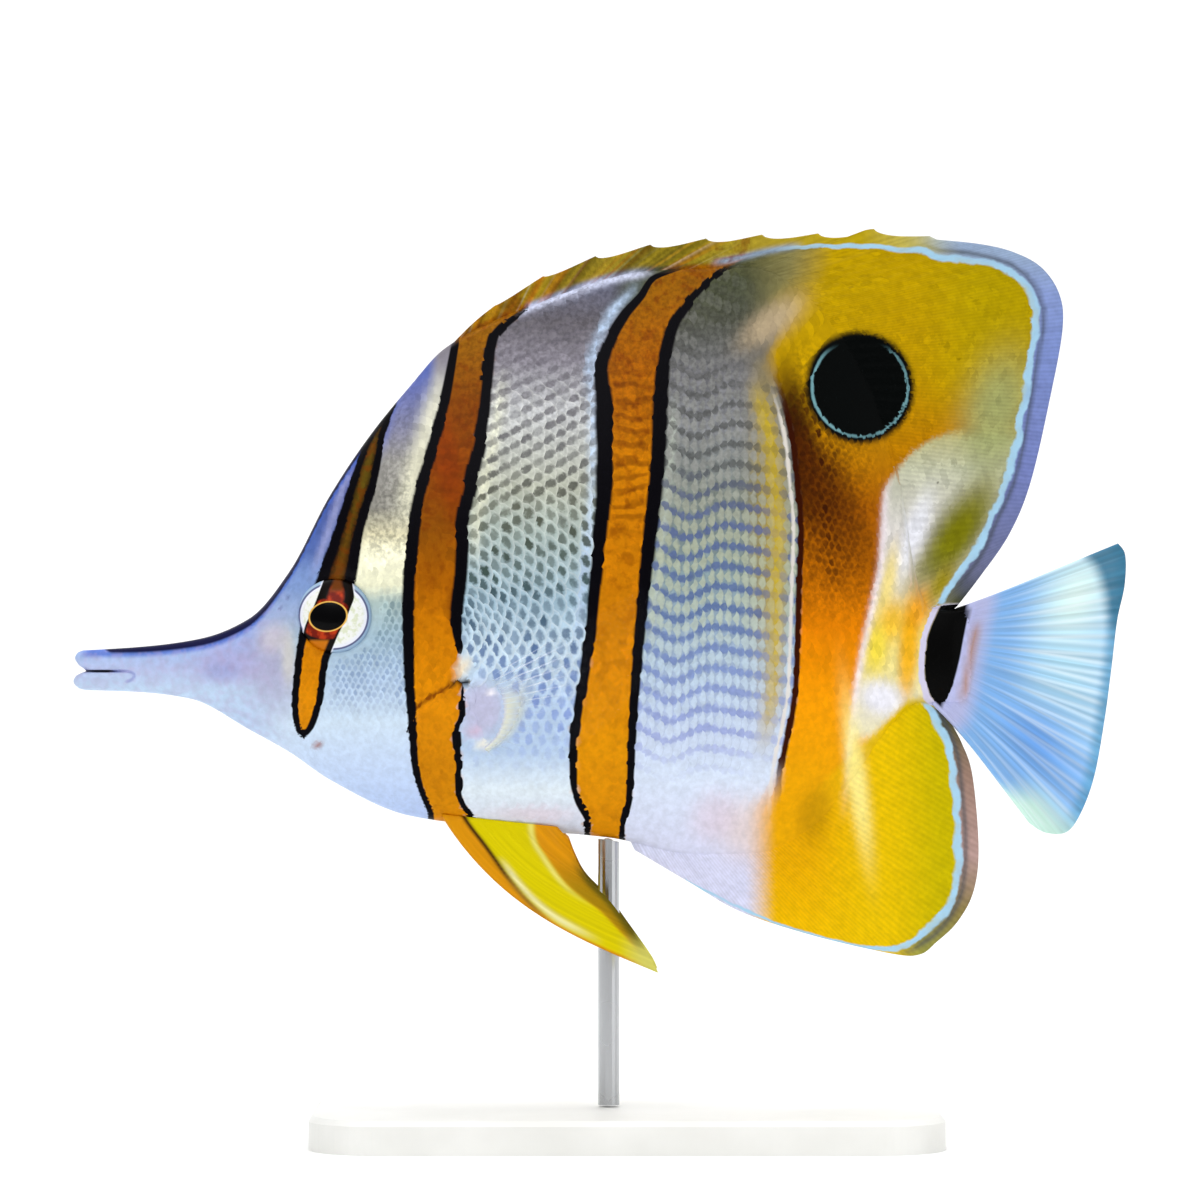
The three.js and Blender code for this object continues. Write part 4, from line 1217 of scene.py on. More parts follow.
# %% Finish of the eye
EYE_BULGE = 1.4
EYE_DEPTH_HALF = 3.3
EYE_BALL_RADIUS = 6.2
EYE_TURN = 0.17
EYE_FIT = 0.02
EYE_SHIFT = 0.35
PUPIL_AT = (-0.78, -0.05)
PUPIL_HALF = (2.72, 2.05)
PUPIL_TILT = 0.14
iris_band_front = smooth_line([
    [-5.5, -5], [-2.2, -4.6], [-1, -4.2], [0.2, -3.6], [2.2, -2.75], [4.8, -1.8], [5.6, -1.5],
])
iris_band_back = smooth_line([
    [-5.5, -0.4], [-4.4, 0.1], [-2.5, 0.96], [-0.5, 2], [1.3, 2.74], [2.9, 3.25], [4, 3.1], [5.5, 2.8],
])


def eye_finish():
    """Ivory with a bluish rim, the dark band with its red core, then the gold ring, pupil and outline."""
    made = Finish("eye")
    pupil, iris_band = made.attribute("pupil"), made.attribute("iris_band")
    r, height = made.attribute("from_centre"), made.attribute("above_centre")
    where = made.place()
    core = made.times(made.ramp(iris_band, 1.3, 2.0), made.ramp(height, 0.5, 1.5))
    beside_pupil = made.times(made.ramp(pupil, 0.9, 0.4), made.ramp(iris_band, 0.2, 0.8))
    red_above = made.calc("MAXIMUM", made.times(core, made.ramp(r, 5.0, 4.3)), beside_pupil)
    red_below = made.times(made.ramp(height, -0.6, -1.2), made.ramp(pupil, 1.7, 1.3))
    red_below = made.times(red_below, made.ramp(iris_band, 0.25, 0.7))
    ember = made.mix(made.cloud(where, 700, 3, 0.4, 0.62), pigment(112, 20, 4), pigment(184, 56, 16))
    off_band = made.ramp(iris_band, 0.1, -0.3)
    ivory = made.mix(made.cloud(where, 1500, 3, 0.45, 0.65), pigment(236, 238, 234), pigment(216, 222, 196))
    colour = made.lay(ivory, [
        ((234, 236, 248), made.ramp(r, 4.1, 4.9)),
        ((12, 6, 4), made.ramp(iris_band, 0.0, 0.18)),
    ])
    colour = made.mix(made.calc("MAXIMUM", red_above, red_below), colour, ember)
    colour = made.lay(colour, [
        ((196, 112, 8), made.times(made.ramp(height, -3.3, -3.9), made.ramp(iris_band, 0.9, 1.4))),
        ((104, 52, 8), made.times(core, made.ramp(height, 3.2, 4.1))),
        ((226, 178, 84), made.line(pupil, 0.14, 0.17, 0.08)),
        ((2, 2, 3), made.ramp(pupil, 0.1, -0.02)),
        ((160, 186, 212), made.times(off_band, made.ramp(r, 5.06, 5.16))),
        ((92, 98, 136), made.times(off_band, made.line(r, 5.08, 0.2, 0.08))),
    ])
    made.set(base_color=colour, roughness=0.3, specular_level=0.05, coat_weight=0.06, coat_roughness=0.03)
    return made.material


eye_material = eye_finish()
print("eye finish has", len(eye_material.node_tree.nodes), "nodes")

# %% [markdown]
# One dome serves both sides. Its points are turned about the upright, so that the fish looks a little
# ahead, and the pupil is an ellipse, tilted as in life. A round one would make the fish look like a toy.

# %% Eyes


def eye_dome(side):
    """Radius r to 6.2 and turn a: (r cos a, depth sqrt(1 - (r / 6.2)^2), r sin a), closed behind by a flat
    disc, turned about the upright by 0.17 and set on the cheek."""
    r = np.concatenate([np.linspace(0, 1, 40) ** 0.9, [0.0]])[:, None] * (EYE_BALL_RADIUS - EYE_FIT)
    a = np.linspace(0, 2 * np.pi, 96, endpoint=False)[None, :]
    depth = EYE_DEPTH_HALF * np.sqrt(np.clip(1 - (r / EYE_BALL_RADIUS) ** 2, 0, 1)) + 0 * a
    depth[-1] = 0
    u, v = r * np.cos(a), r * np.sin(a)
    out = flesh_half(np.array(EYE_AT[0]), np.array(EYE_AT[1])) + EYE_BULGE - EYE_DEPTH_HALF
    cos, sin = np.cos(EYE_TURN), np.sin(EYE_TURN)
    x = EYE_AT[0] + u * cos - depth * sin
    y = side * (out + depth * cos + u * sin)
    return in_model(x, y, EYE_AT[1] + v)


def out_of_pupil(u, v):
    """Distance out of the pupil's ellipse: (sqrt(p^2 + q^2) - 1) times its mean half, p and q in halves."""
    pu, pv = u - PUPIL_AT[0], v - PUPIL_AT[1]
    along = pu * np.cos(PUPIL_TILT) + pv * np.sin(PUPIL_TILT)
    beside = pv * np.cos(PUPIL_TILT) - pu * np.sin(PUPIL_TILT)
    size = np.hypot(along / PUPIL_HALF[0], beside / PUPIL_HALF[1])
    return (size - 1) * np.sqrt(PUPIL_HALF[0] * PUPIL_HALF[1])


for name, side in SIDES:
    dome = eye_dome(side)
    faces = grid_quads(*dome.shape[:2])
    eye = make_piece(f"eye_{name}_dome", dome, faces, (f"eye_{name}",), merge=True)
    eye_x, _, eye_z = side_place(eye)
    u, v = (eye_x - EYE_AT[0]) / np.cos(EYE_TURN) + EYE_SHIFT, eye_z - EYE_AT[1]
    write_field(eye, "pupil", out_of_pupil(u, v))
    write_field(eye, "iris_band", np.minimum(u - iris_band_front(v), iris_band_back(v) - u))
    write_field(eye, "from_centre", np.hypot(0.97 * u, 1.04 * v))
    write_field(eye, "above_centre", v)
    eye.data.materials.append(eye_material)

# %% [markdown]
# Fins are closed blades: straight or bowed rays run from a root to an edge, and the blade thins towards
# the edge. Each ray stands as a fine ridge that splits in two further out, as soft rays do. Cutting rays
# as separate rods would leave them floating in the membrane.

# %% Fin blades
RIM_HALF = 0.2
ROOT_SUNK = 2.6
RAY_HEIGHT = 0.16
OUTWARD = 56
OUTWARD_CROWDING = 1.25
EDGE_ROUND = 0.02
SIDE_ROUND = 0.4


def ray_ridge(phase, out, split_at):
    """Height share of the ridges at a ray phase, 1 on a ray: a narrow bump at whole phases, which moves apart
    into two by a quarter phase from split_at outwards."""
    apart = 0.23 * step(out, split_at, 1)
    off = np.abs(phase - np.round(phase))
    return soft_line(off, apart, 0.13)


def even_rays(rays, per_ray=8):
    """Shares across a fin and the ray phase at each, with the same number of columns to every ray."""
    phase = np.linspace(0, rays, rays * per_ray + 1)
    return phase / rays, phase


def blade(across, phase, at, middle, half, split_at=0.55, ridge=RAY_HEIGHT):
    """Points of a closed blade, (columns, 2 x rows, 3), with their across, phase and out. The left face runs
    out to the edge and the right one back, and both meet where the thickness is drawn in at the rim."""
    out = (1 - (1 - np.linspace(0, 1, OUTWARD)) ** OUTWARD_CROWDING)[None, :] + 0 * across[:, None]
    across, phase = across[:, None] + 0 * out, phase[:, None] + 0 * out
    x, z = at(across, phase, out)
    inset = np.minimum((1 - out) / EDGE_ROUND, np.minimum(phase, phase.max() - phase) / SIDE_ROUND)
    rim = np.sqrt(np.clip(1 - (1 - np.clip(inset, 0, 1)) ** 2, 0, 1))
    thick = (half(across, phase, out) + ridge * (1 - 0.6 * out) * ray_ridge(phase, out, split_at)) * rim
    y = middle(out, x, z)
    near_side = in_model(x, y - thick, z)
    far_side = in_model(x, y + thick, z)[:, ::-1]
    return np.concatenate([near_side, far_side], axis=1), across, phase, out


def both(field):
    """A blade's field for its left face and then its right one."""
    return np.concatenate([field, field[:, ::-1]], axis=1).reshape(-1)


def taper(root_half, out):
    """Half thickness from root_half at the root to 0.2 mm at the rim, along out^0.7."""
    return blend(root_half, RIM_HALF, out**0.7)


def root_flare(out):
    """A foot of 0.25 exp(-(out / 0.1)^2) mm, so that a fin's face runs smoothly out of the flank."""
    return 0.25 * soft_line(out, 0, 0.1)


def straight(root, edge):
    """Points at a share out from root(across) to edge(across) along a straight ray."""

    def at(across, phase, out):
        """root (1 - out) + edge out."""
        (rx, rz), (ex, ez) = root(across), edge(across)
        return blend(rx, ex, out), blend(rz, ez, out)

    return at


def flat(out, x, z):
    """A fin that stands in the fish's middle plane: y is 0."""
    return 0 * x


def brushed(along, end, count, low, high):
    """Random strength, low to high, at count even places from 0 to end, in straight lines between them."""
    return np.interp(along, np.linspace(0, end, count), rng.uniform(low, high, count))


print("a blade has", 2 * OUTWARD, "points round each ray")

# %% [markdown]
# The dorsal fin is one sail in two parts: nine spines folded low along the back, each tip a little over
# the membrane behind it, then soft rays. The anal fin has three short stout spines and then rays. Each is
# one blade, because spines and rays made as separate pieces would show seams in the membrane.

# %% Dorsal and anal fins
SPINE_COUNT = 9
SPINE_STEP = 0.7
DORSAL_RAYS = 29
ANAL_RAYS = 23
SPINY_ROOT = (55.6, 103.6)
SOFT_ROOT_LENGTH = 25.9
ANAL_ROOT = (82.2, 127)
STROKES_PER_RAY = 8
spiny_edge = smooth_path([
    [57, 48.9], [62, 53.6], [72, 59.6], [84, 63.2], [101, 65], [116, 65.4], [119.6, 66], [128.4, 64.9],
])
soft_edge = smooth_path([
    [129.2, 64.4], [136, 63.7], [141, 62.5], [145.2, 60.2], [147.9, 56.2], [148.4, 51], [146.6, 41],
    [143.6, 28], [140.4, 20.2], [136, 13.8], [132.6, 9.4],
])
anal_edge = smooth_path([
    [84.2, -27.2], [92.5, -32.1], [100, -36.4], [110.5, -39.9], [122.5, -42.7], [126.9, -42.9], [129.5, -41],
    [132.6, -38], [135, -33.5], [135.8, -27], [134.9, -16.2], [133.2, -11], [130.9, -6.9],
])


def dorsal_at(across, phase, out):
    """Straight rays: spines to a share 0.5 across, and soft rays beyond. Between spines the edge drops by
    0.7 sin(pi f^0.6) mm, with f the share of the way to the next."""
    front, rear = np.clip(2 * across, 0, 1), np.clip(2 * across - 1, 0, 1)
    rx = blend(*SPINY_ROOT, front) + SOFT_ROOT_LENGTH * rear**0.8
    (sx, sz), (fx, fz) = spiny_edge(front), soft_edge(rear)
    f = np.clip(phase, 0, SPINE_COUNT - 0.001) % 1
    drop = SPINE_STEP * np.sin(np.pi * f**0.6) * np.clip(phase / 3, 0, 1)
    ex, ez = np.where(across > 0.5, fx, sx), np.where(across > 0.5, fz, sz - drop)
    return blend(rx, ex, out), blend(back_line(rx) - ROOT_SUNK, ez, out)


def dorsal_half(across, phase, out):
    """Thicker from spine to spine, 0.6 to 0.95 mm at the root, and 1 mm under the soft rays."""
    root = np.where(phase < SPINE_COUNT, blend(0.6, 0.95, phase / SPINE_COUNT), 1.0)
    return taper(root, out) + root_flare(out)


def anal_at(across, phase, out):
    """Straight rays from the belly's line to the edge."""
    rx = blend(*ANAL_ROOT, across)
    ex, ez = anal_edge(across)
    return blend(rx, ex, out), blend(belly_line(rx) + ROOT_SUNK, ez, out)


def anal_half(across, phase, out):
    """1 mm thick on each side at the root."""
    return taper(1.0, out) + root_flare(out)


def median_fin(name, points, phase, replaced):
    """A fin along the back or belly. Its wash is brushed along the rays, more strongly among the spines."""
    made = make_piece(name, points, grid_quads(*points.shape[:2]), replaced)
    fin_x, _, fin_z = side_place(made)
    along = (both(phase), phase.max(), int(phase.max() * STROKES_PER_RAY))
    among_spines = fade(fin_x, 88, 104) * (fin_z > 5)
    strokes = brushed(*along, -1, 1) * blend(0.08, 0.5, among_spines) * step(np.abs(fin_z - 15), 10, 14)
    colour = lay_over(wash(fin_x, fin_z), [
        ((146, 72, 4), 0.85 * brushed(*along, -0.6, 0.8).clip(0, 1) * among_spines),
        ((206, 214, 190), 0.3 * brushed(*along, -2.5, 1).clip(0, 1) * among_spines),
    ])
    paint(made, fin_x, fin_z, np.clip(colour * (1 + strokes[:, None]), 0, 1))
    write_field(made, "ray_number", both(phase))
    made.data.materials.append(skin_material)


spine_across, spine_phase = even_rays(SPINE_COUNT, 20)
soft_across, soft_phase = even_rays(DORSAL_RAYS)
dorsal_across = np.concatenate([0.5 * spine_across, 0.5 + 0.5 * soft_across[1:]])
dorsal_phase = np.concatenate([spine_phase, SPINE_COUNT + soft_phase[1:]])
dorsal_points, _, dorsal_number, _ = blade(dorsal_across, dorsal_phase, dorsal_at, flat, dorsal_half)
median_fin("dorsal_sail", dorsal_points, dorsal_number, ("dorsal_fin_spiny", "dorsal_fin_soft"))
anal_points, _, anal_number, _ = blade(*even_rays(ANAL_RAYS), anal_at, flat, anal_half)
median_fin("anal_sail", anal_points, anal_number, ("anal_fin",))

# %% [markdown]
# The tail fin is a fan of pale rays over clear blue skin. Its colours follow the fin itself, across from
# the upper corner to the lower one and outwards, so they are worked out in those two numbers. The side
# view's x and z would do for a stiff fin, but not for one whose rays spread.

# %% Tail fin
TAIL_RAYS = 17
TAIL_BLUE = (128, 178, 232)
TAIL_BOW = (0.2, -0.5)
TAIL_SUNK = 2.2
tail_straight = straight(
    smooth_path([[134.6, 9.1], [132.5, 2.2], [130.9, -5.4]]),
    smooth_path([
        [156.7, 18.8], [157.8, 17], [157.7, 12.5], [156.6, 7.3], [155.7, -0.1], [154.7, -7.6], [153.2, -15.9],
        [151.2, -21.5], [149, -24.5], [145.8, -24.6], [143.4, -23.2],
    ]),
)


def tail_at(across, phase, out):
    """Straight rays, bowed by sin(pi out) times 0.2 mm above and -0.5 mm below. The root is drawn forwards by
    2.2 (1 - out)^4, under the skin."""
    x, z = tail_straight(across, phase, out)
    return x - TAIL_SUNK * (1 - out) ** 4, z + np.sin(np.pi * out) * blend(*TAIL_BOW, across)


def tail_half(across, phase, out):
    """1.5 mm thick on each side at the middle's root, and 1.1 mm at the corners."""
    return taper(blend(1.5, 1.1, np.abs(2 * across - 1)), out)


def even_ground(chip, count):
    """The same colour for each of count points."""
    return np.tile(pigment(*chip), (count, 1))


def clear_fin_finish(name, clear, streak, glow):
    """Rays are nearly solid and the skin between them lets light through: alpha runs from clear to glow."""
    made = Finish(name)
    ray = made.attribute("ray")
    colour = made.lay(made.attribute("wash", "Color"), [((236, 246, 252), made.times(ray, streak))])
    solid = made.calc("MAXIMUM", made.attribute("solid"), made.ramp(ray, 0, 1, clear, glow))
    made.set(base_color=colour, roughness=0.38, alpha=solid, specular_level=SKIN_SHINE)
    return made.material


def glow_at(out, across, out_centre, across_centre, out_size, across_size):
    """A soft patch on a fin: exp(-(u^2 + v^2)), with u outwards and v across."""
    return soft_line(out, out_centre, out_size) * soft_line(across, across_centre, across_size)


tail_blade = blade(*even_rays(TAIL_RAYS, 12), tail_at, flat, tail_half, 0.3)
tail_points, tail_across, tail_phase, tail_out = tail_blade
tail = make_piece("tail_fan", tail_points, grid_quads(*tail_points.shape[:2]), ("tail_fin",))
a, o = both(tail_across), both(tail_out)
tail_x, _, tail_z = side_place(tail)
corner = 0.95 * step(o - 0.72 * a, 0.72, 0.82) * fade(a, 0.2, 0.34)
tail_colour = lay_over(even_ground(TAIL_BLUE, len(a)), [
    ((168, 212, 240), 0.85 * step(o, 0.3, 0.6) * fade(a, 0.5, 0.75)),
    ((222, 248, 242), 0.95 * glow_at(o, a, 0.7, 0.14, 0.2, 0.16)),
    ((176, 222, 236), 0.5 * glow_at(o, a, 0.74, 0.4, 0.2, 0.12)),
    ((90, 146, 218), 0.75 * glow_at(o, a, 0.6, 0.7, 0.24, 0.13)),
    ((92, 158, 200), 0.8 * step(o, 0.9, 0.98) * fade(a, 0.8, 0.95)),
    ((56, 118, 150), corner),
    ((200, 236, 224), step(o, 0.55, 0.8) * step(a, 0.8, 0.92)),
    ((182, 186, 226), fade(o, 0.14, 0.26)),
])
strokes = brushed(a, 1, 160, -1, 1)
long_strokes = brushed(a, 1, 60, 0.3, 1)
tail_colour = np.clip(tail_colour * (1 + 0.2 * step(o, 0.05, 0.4) * strokes)[:, None], 0, 1)
write_wash(tail, lay_over(tail_colour, [
    ((176, 132, 104), tail_smear(tail_x, tail_z)),
    ((3, 3, 3), step(band_fields(tail_x, tail_z)["tail_bar"], -0.25, 0.1)),
]))
bright_part = 0.5 + 0.5 * np.exp(-(((a - 0.38) / 0.26) ** 4)) * step(o, 0.3, 0.6)
tail_rays = ray_ridge(both(tail_phase), o, 0.3) * long_strokes * bright_part * (1 - 0.9 * corner)
write_field(tail, "ray", tail_rays * window(o, 0.08, 0.4, 0.9, 1))
write_field(tail, "solid", fade(o, 0.05, 0.35))
tail.data.materials.append(clear_fin_finish("tail_skin", 0.9, 0.75, 0.97))

# %% [markdown]
# The pectoral fin is glass-clear with fine white rays, held a little off the flank. Only its root and its
# rays stop the light, so both are written as fields for the finish. Cutting the clear skin away would
# leave loose rays.

# %% Pectoral fins
PECTORAL_RAYS = 16
PECTORAL_GROUND = (214, 222, 242)
PECTORAL_SUNK = 0.55
PECTORAL_SPREAD = 7
pectoral_at = straight(
    smooth_path([[62.4, -1.2], [64, -3.7], [64.4, -6.8], [63.5, -9.8], [61.7, -11.8]]),
    smooth_path([
        [85.3, 12.1], [87.2, 7.6], [86.4, 1.2], [82.8, -5], [77.6, -9.9], [70.8, -13.2], [65, -14.4],
    ]),
)
clear_material = clear_fin_finish("pectoral_skin", 0.0015, 0.9, 0.35)


def pectoral_half(across, phase, out):
    """0.45 mm thick on each side at the root."""
    return taper(0.45, out)


for name, side in SIDES:
    points, across, phase, out = blade(
        *even_rays(PECTORAL_RAYS, 12),
        pectoral_at,
        lambda out, x, z: side * (flesh_half(x, z) - PECTORAL_SUNK + PECTORAL_SPREAD * out),
        pectoral_half,
        0.35,
        0.1,
    )
    faces = grid_quads(*points.shape[:2])
    fin = make_piece(f"pectoral_{name}", points, faces, (f"pectoral_fin_{name}",))
    a, o = both(across), both(out)
    write_wash(fin, lay_over(even_ground(PECTORAL_GROUND, len(a)), [
        ((206, 202, 222), fade(o, 0.0, 0.04)),
        ((242, 240, 208), 0.9 * window(o, 0.01, 0.05, 0.14, 0.3) * step(a, 0.1, 0.4)),
    ]))
    fine_ray = ray_ridge(both(phase), o, 0.3) * blend(1, 0.45, step(a, 0.3, 0.5))
    write_field(fin, "ray", fine_ray * blend(0.9, 0.01, step(o, 0.08, 0.66)))
    write_field(fin, "solid", 0.8 * fade(o, 0.0, 0.27) ** 1.3 * step(a, 0.02, 0.4))
    fin.data.materials.append(clear_material)

# %% [markdown]
# The pelvic fin is a narrow swept blade behind one strong spine, orange in front, bright yellow within and
# brown behind. The yellow's rear edge follows the fin's own edge, so it is a distance to that path.

# %% Pelvic fins
PELVIC_RAYS = 6
PELVIC_ORANGE = (212, 142, 12)
PELVIC_BOW = 3.7
BOW_WAY = (0.58, 0.81)
PELVIC_OFF_MIDDLE = (2.3, 5.6)
PELVIC_EDGE = [
    [87.7, -45.3], [86.6, -43.1], [83, -38], [80.5, -34.6], [76.9, -30.9], [75.3, -28], [74.3, -25.4],
]
REAR_STRIP = ([-45, -40, -36, -32, -28, -23], [0.5, 1.2, 2.0, 3.0, 4.0, 5.6])
pelvic_straight = straight(smooth_path([[55.2, -21.7], [72.6, -23.6]]), smooth_path(PELVIC_EDGE))


def pelvic_at(across, phase, out):
    """Straight rays, the front ones bowed forwards and down by 3.7 sin(pi out^0.85) (1 - across)^1.5."""
    x, z = pelvic_straight(across, phase, out)
    swell = PELVIC_BOW * np.sin(np.pi * out**0.85) * (1 - across) ** 1.5
    return x - BOW_WAY[0] * swell, z - BOW_WAY[1] * swell


def pelvic_half(across, phase, out):
    """0.85 mm thick on each side at the root, with the spine along the front adding 0.25 mm."""
    return taper(0.85, out) + 0.25 * soft_line(across, 0, 0.07) * (1 - out)


def pelvic_wash(a, o, x, z):
    """Orange, then the yellow within, a painted highlight along its rear edge, the brown behind it, the seam
    of the spine, and a painted highlight beside the seam.
    """
    strip = 0.2 * (1 - 0.97 * step(o, 0.1, 0.62))
    from_rear, rear_strip = near(PELVIC_EDGE, x, z), np.interp(z, *REAR_STRIP)
    yellow = step(from_rear, rear_strip - 0.4, rear_strip + 0.4)
    within = step(a, strip, strip + 0.03)
    seam = soft_line(a, strip, 0.025)
    return lay_over(even_ground(PELVIC_ORANGE, len(a)), [
        ((212, 196, 2), within * yellow),
        # painted highlight: a pale line along the yellow's rear edge
        ((232, 224, 130), 0.7 * soft_line(from_rear, rear_strip + 0.5, 0.4) * step(z, -36, -30)),
        ((160, 124, 10), (1 - yellow) * fade(z, -34, -27) * within),
        ((84, 78, 14), 0.85 * fade(from_rear, 0.2, 1.2) * window(-z, 27, 32, 42, 45)),
        # painted highlight: a cream line beside the spine's seam
        ((236, 232, 180), 0.8 * soft_line(a, strip + 0.06, 0.03) * window(o, 0.22, 0.34, 0.6, 0.8)),
        ((20, 12, 10), 0.95 * seam * fade(o, 0.28, 0.42)),
        ((96, 84, 40), 0.7 * seam * window(o, 0.25, 0.4, 0.45, 0.6)),
        ((206, 200, 96), step(o, 0.84, 0.97) * fade(z, -43, -39)),
    ])


pelvic = Finish("pelvic_skin")
pelvic.set(base_color=pelvic.attribute("wash", "Color"), roughness=0.4, specular_level=SKIN_SHINE)
pelvic.bump(pelvic.noise(pelvic.place(), *SKIN_GRAIN), GRAIN_DEPTH, 0.5)
for name, side in SIDES:
    points, across, phase, out = blade(
        *even_rays(PELVIC_RAYS, 14),
        pelvic_at,
        lambda out, x, z: side * blend(*PELVIC_OFF_MIDDLE, out**1.2),
        pelvic_half,
        0.5,
        0.2,
    )
    fin = make_piece(f"pelvic_{name}", points, grid_quads(*points.shape[:2]), (f"pelvic_fin_{name}",))
    a, o = both(across), both(out)
    fin_x, _, fin_z = side_place(fin)
    streaks = brushed(a, 1, 60, -0.12, 0.1)
    streaked = pelvic_wash(a, o, fin_x, fin_z) * (1 + streaks * step(o, 0, 0.2))[:, None]
    write_wash(fin, np.clip(streaked, 0, 1))
    fin.data.materials.append(pelvic.material)

# %% [markdown]
# Scales lie on the skin in rows, each tucked under the one in front, like tiles. They are solid little
# plates: a middle, a ring, a rim and an underside. A plate's points are read off the sheet below them, so
# it bends with the body. A bump map would be cheaper, but it has no outline and no shade of its own at a
# grazing view.

# %% One scale
SCALE_SINK = 0.1
SCALE_RISE = 0.1
SCALE_DOME = 0.03
SCALE_UNDER = 0.22
BAKE_PATCH = 0.003
BAKE_FROM, BAKE_LENGTH = 20, 120
RAGGED = 0.22
RIM = 12


def scale_template():
    """26 points (a, b) with their lifts, and 48 triangles. Lift runs from -sink at the root, a = -1, to the
    rise at the free edge, a = 1, plus a dome (1 - a^2 - b^2)."""
    turn = np.arange(RIM) * 2 * np.pi / RIM
    ring = np.stack([np.cos(turn), np.sin(turn)], axis=1)
    flat_points = np.concatenate([np.zeros((1, 2)), 0.62 * ring, ring, np.zeros((1, 2))])
    lift = blend(-SCALE_SINK, SCALE_RISE, (flat_points[:, 0] + 1) / 2)
    lift += SCALE_DOME * (1 - (flat_points**2).sum(axis=1))
    lift[-1] = -SCALE_UNDER
    k = np.arange(RIM)
    n = (k + 1) % RIM
    inner, outer = 1, 1 + RIM
    triangles = [
        [0 * k, inner + k, inner + n],
        [inner + k, outer + k, outer + n],
        [inner + k, outer + n, inner + n],
        [0 * k + 1 + 2 * RIM, outer + n, outer + k],
    ]
    return flat_points, lift, np.concatenate([np.stack(t, axis=1) for t in triangles])


scale_flat, scale_lift, scale_faces = scale_template()
print("one scale has", len(scale_flat), "points and", len(scale_faces), "triangles")


def lay_scales(sample, p, q, along, across, height):
    """Points (scales, 26, 3) as (x, half, z) in millimetres. A point is the sheet's own at
    (p, q) + a along + b across, moved out along the normal at the scale's middle by lift x height."""
    a, b = scale_flat.T
    sheet_p = p[:, None] + a * along[:, :1] + b * across[:, :1]
    sheet_q = q[:, None] + a * along[:, 1:] + b * across[:, 1:]
    points = sample(sheet_p, sheet_q)
    ahead = points[:, 1 + RIM] - points[:, 1 + RIM + RIM // 2]
    aside = points[:, 1 + RIM + RIM // 4] - points[:, 1 + RIM + 3 * RIM // 4]
    normal = np.cross(aside, ahead)
    normal /= np.linalg.norm(normal, axis=1, keepdims=True) + 1e-9
    return points + (scale_lift * height[:, None])[..., None] * normal[:, None]


# %% [markdown]
# Each side of the body is a sheet over x and over w, the way up its section from the widest level. Scales
# placed on it keep their size where the body curves in under the belly. Rows that leave the sheet at the
# back or belly carry on over the other side.

# %% The flank as a sheet
SHEET_FRONT = 25
SHEET_LOW = -52.0
SHEET_HIGH = 62.0
SHEET_STEP = 0.25
sheet_rows = np.arange(SHEET_LOW, SHEET_HIGH, SHEET_STEP)


def flank_sheet():
    """Half thickness and z at each station and each w, with w the summed length of sqrt(dy^2 + dz^2)."""
    kept = side_x[:, ROWS // 2] >= SHEET_FRONT
    x, z = side_x[kept], side_z[kept]
    half = flesh_half(x, np.clip(z, belly_line(x), back_line(x)))
    run = np.cumsum(np.hypot(np.diff(half), np.diff(z)), axis=1)
    way = np.concatenate([np.zeros((len(x), 1)), run], axis=1)
    way -= way[:, ROWS // 2, None]
    low, high = way[:, :1], way[:, -1:]
    below, above = sheet_rows < low, sheet_rows > high
    folded = np.where(below, 2 * low - sheet_rows, sheet_rows)
    folded = np.where(above, 2 * high - sheet_rows, folded)
    halves, heights = (
        np.array([np.interp(f, w, v) for f, w, v in zip(folded, way, values)])
        for values in (broad_half[kept], z)
    )
    return x[:, ROWS // 2], np.where(below | above, -halves, halves), heights, low[:, 0], high[:, 0]


station_x, sheet_half, sheet_z, sheet_low, sheet_high = flank_sheet()


def four_nearest(table, i, j, s, t):
    """Straight lines between a table's four nearest values, by the share s on to i + 1 and t on to j + 1."""
    here, ahead = blend(table[i, j], table[i, j + 1], t), blend(table[i + 1, j], table[i + 1, j + 1], t)
    return blend(here, ahead, s)


def on_flank(x, w):
    """(x, half, z) of the left flank, in straight lines between the sheet's points."""
    x = np.clip(x, station_x[0], station_x[-1] - 1e-6)
    i = np.clip(np.searchsorted(station_x, x, side="right") - 1, 0, len(station_x) - 2)
    s = (x - station_x[i]) / (station_x[i + 1] - station_x[i])
    rows = np.clip((w - SHEET_LOW) / SHEET_STEP, 0, len(sheet_rows) - 1.001)
    j = rows.astype(int)
    half, z = (four_nearest(table, i, j, s, rows - j) for table in (sheet_half, sheet_z))
    return np.stack([x, half, z], axis=-1)


print("the flank's sheet has", sheet_half.shape, "points")

# %% [markdown]
# The photo shows rows about 2 mm apart between the front bands, 1.5 mm behind the second one and smaller
# on the cheek, with every other row shifted by half a scale. Between the front bands they climb towards
# the tail, and behind the second band they wave. Three fields of rows meet under the dark bands, where the
# change of direction doesn't show. Scattered scales would be easier to lay, but a fish's rows are what the
# eye reads.

# %% Rows on the body
PITCH = 1.65
HALF_LENGTH = 1.3
HALF_HEIGHT = 1.18
LEVEL = 11.0
ROWS_FROM, ROWS_TO = -50, 80
ALONG_JITTER, ACROSS_JITTER, SIZE_JITTER = 0.05, 0.04, 0.03
FLANK_NARROW = {"head": 1, "shoulder": 1, "flank": 0.83}
cheek_band_middle = smooth_line([[-24, 57.5], [-10, 54.5], [10, 54.5], [25, 56], [40, 59.5], [52, 62.5]])
flank_band_middle = smooth_line([[-23, 80], [-10, 79.4], [10, 82], [30, 83.7], [45, 84.2], [59, 92.5]])
waves = smooth_line([[-9, 2.4], [0, 0], [4.2, -2.1], [9.7, -0.1], [16, -1], [24, -2.5]])


def climb(steep, low, high, upper=0.0):
    """Slope of a row at its height z: it grows to steep between low and high, and eases by upper above 30."""
    return lambda z: steep * step(z, low, high) - upper * step(z, 30, 46)


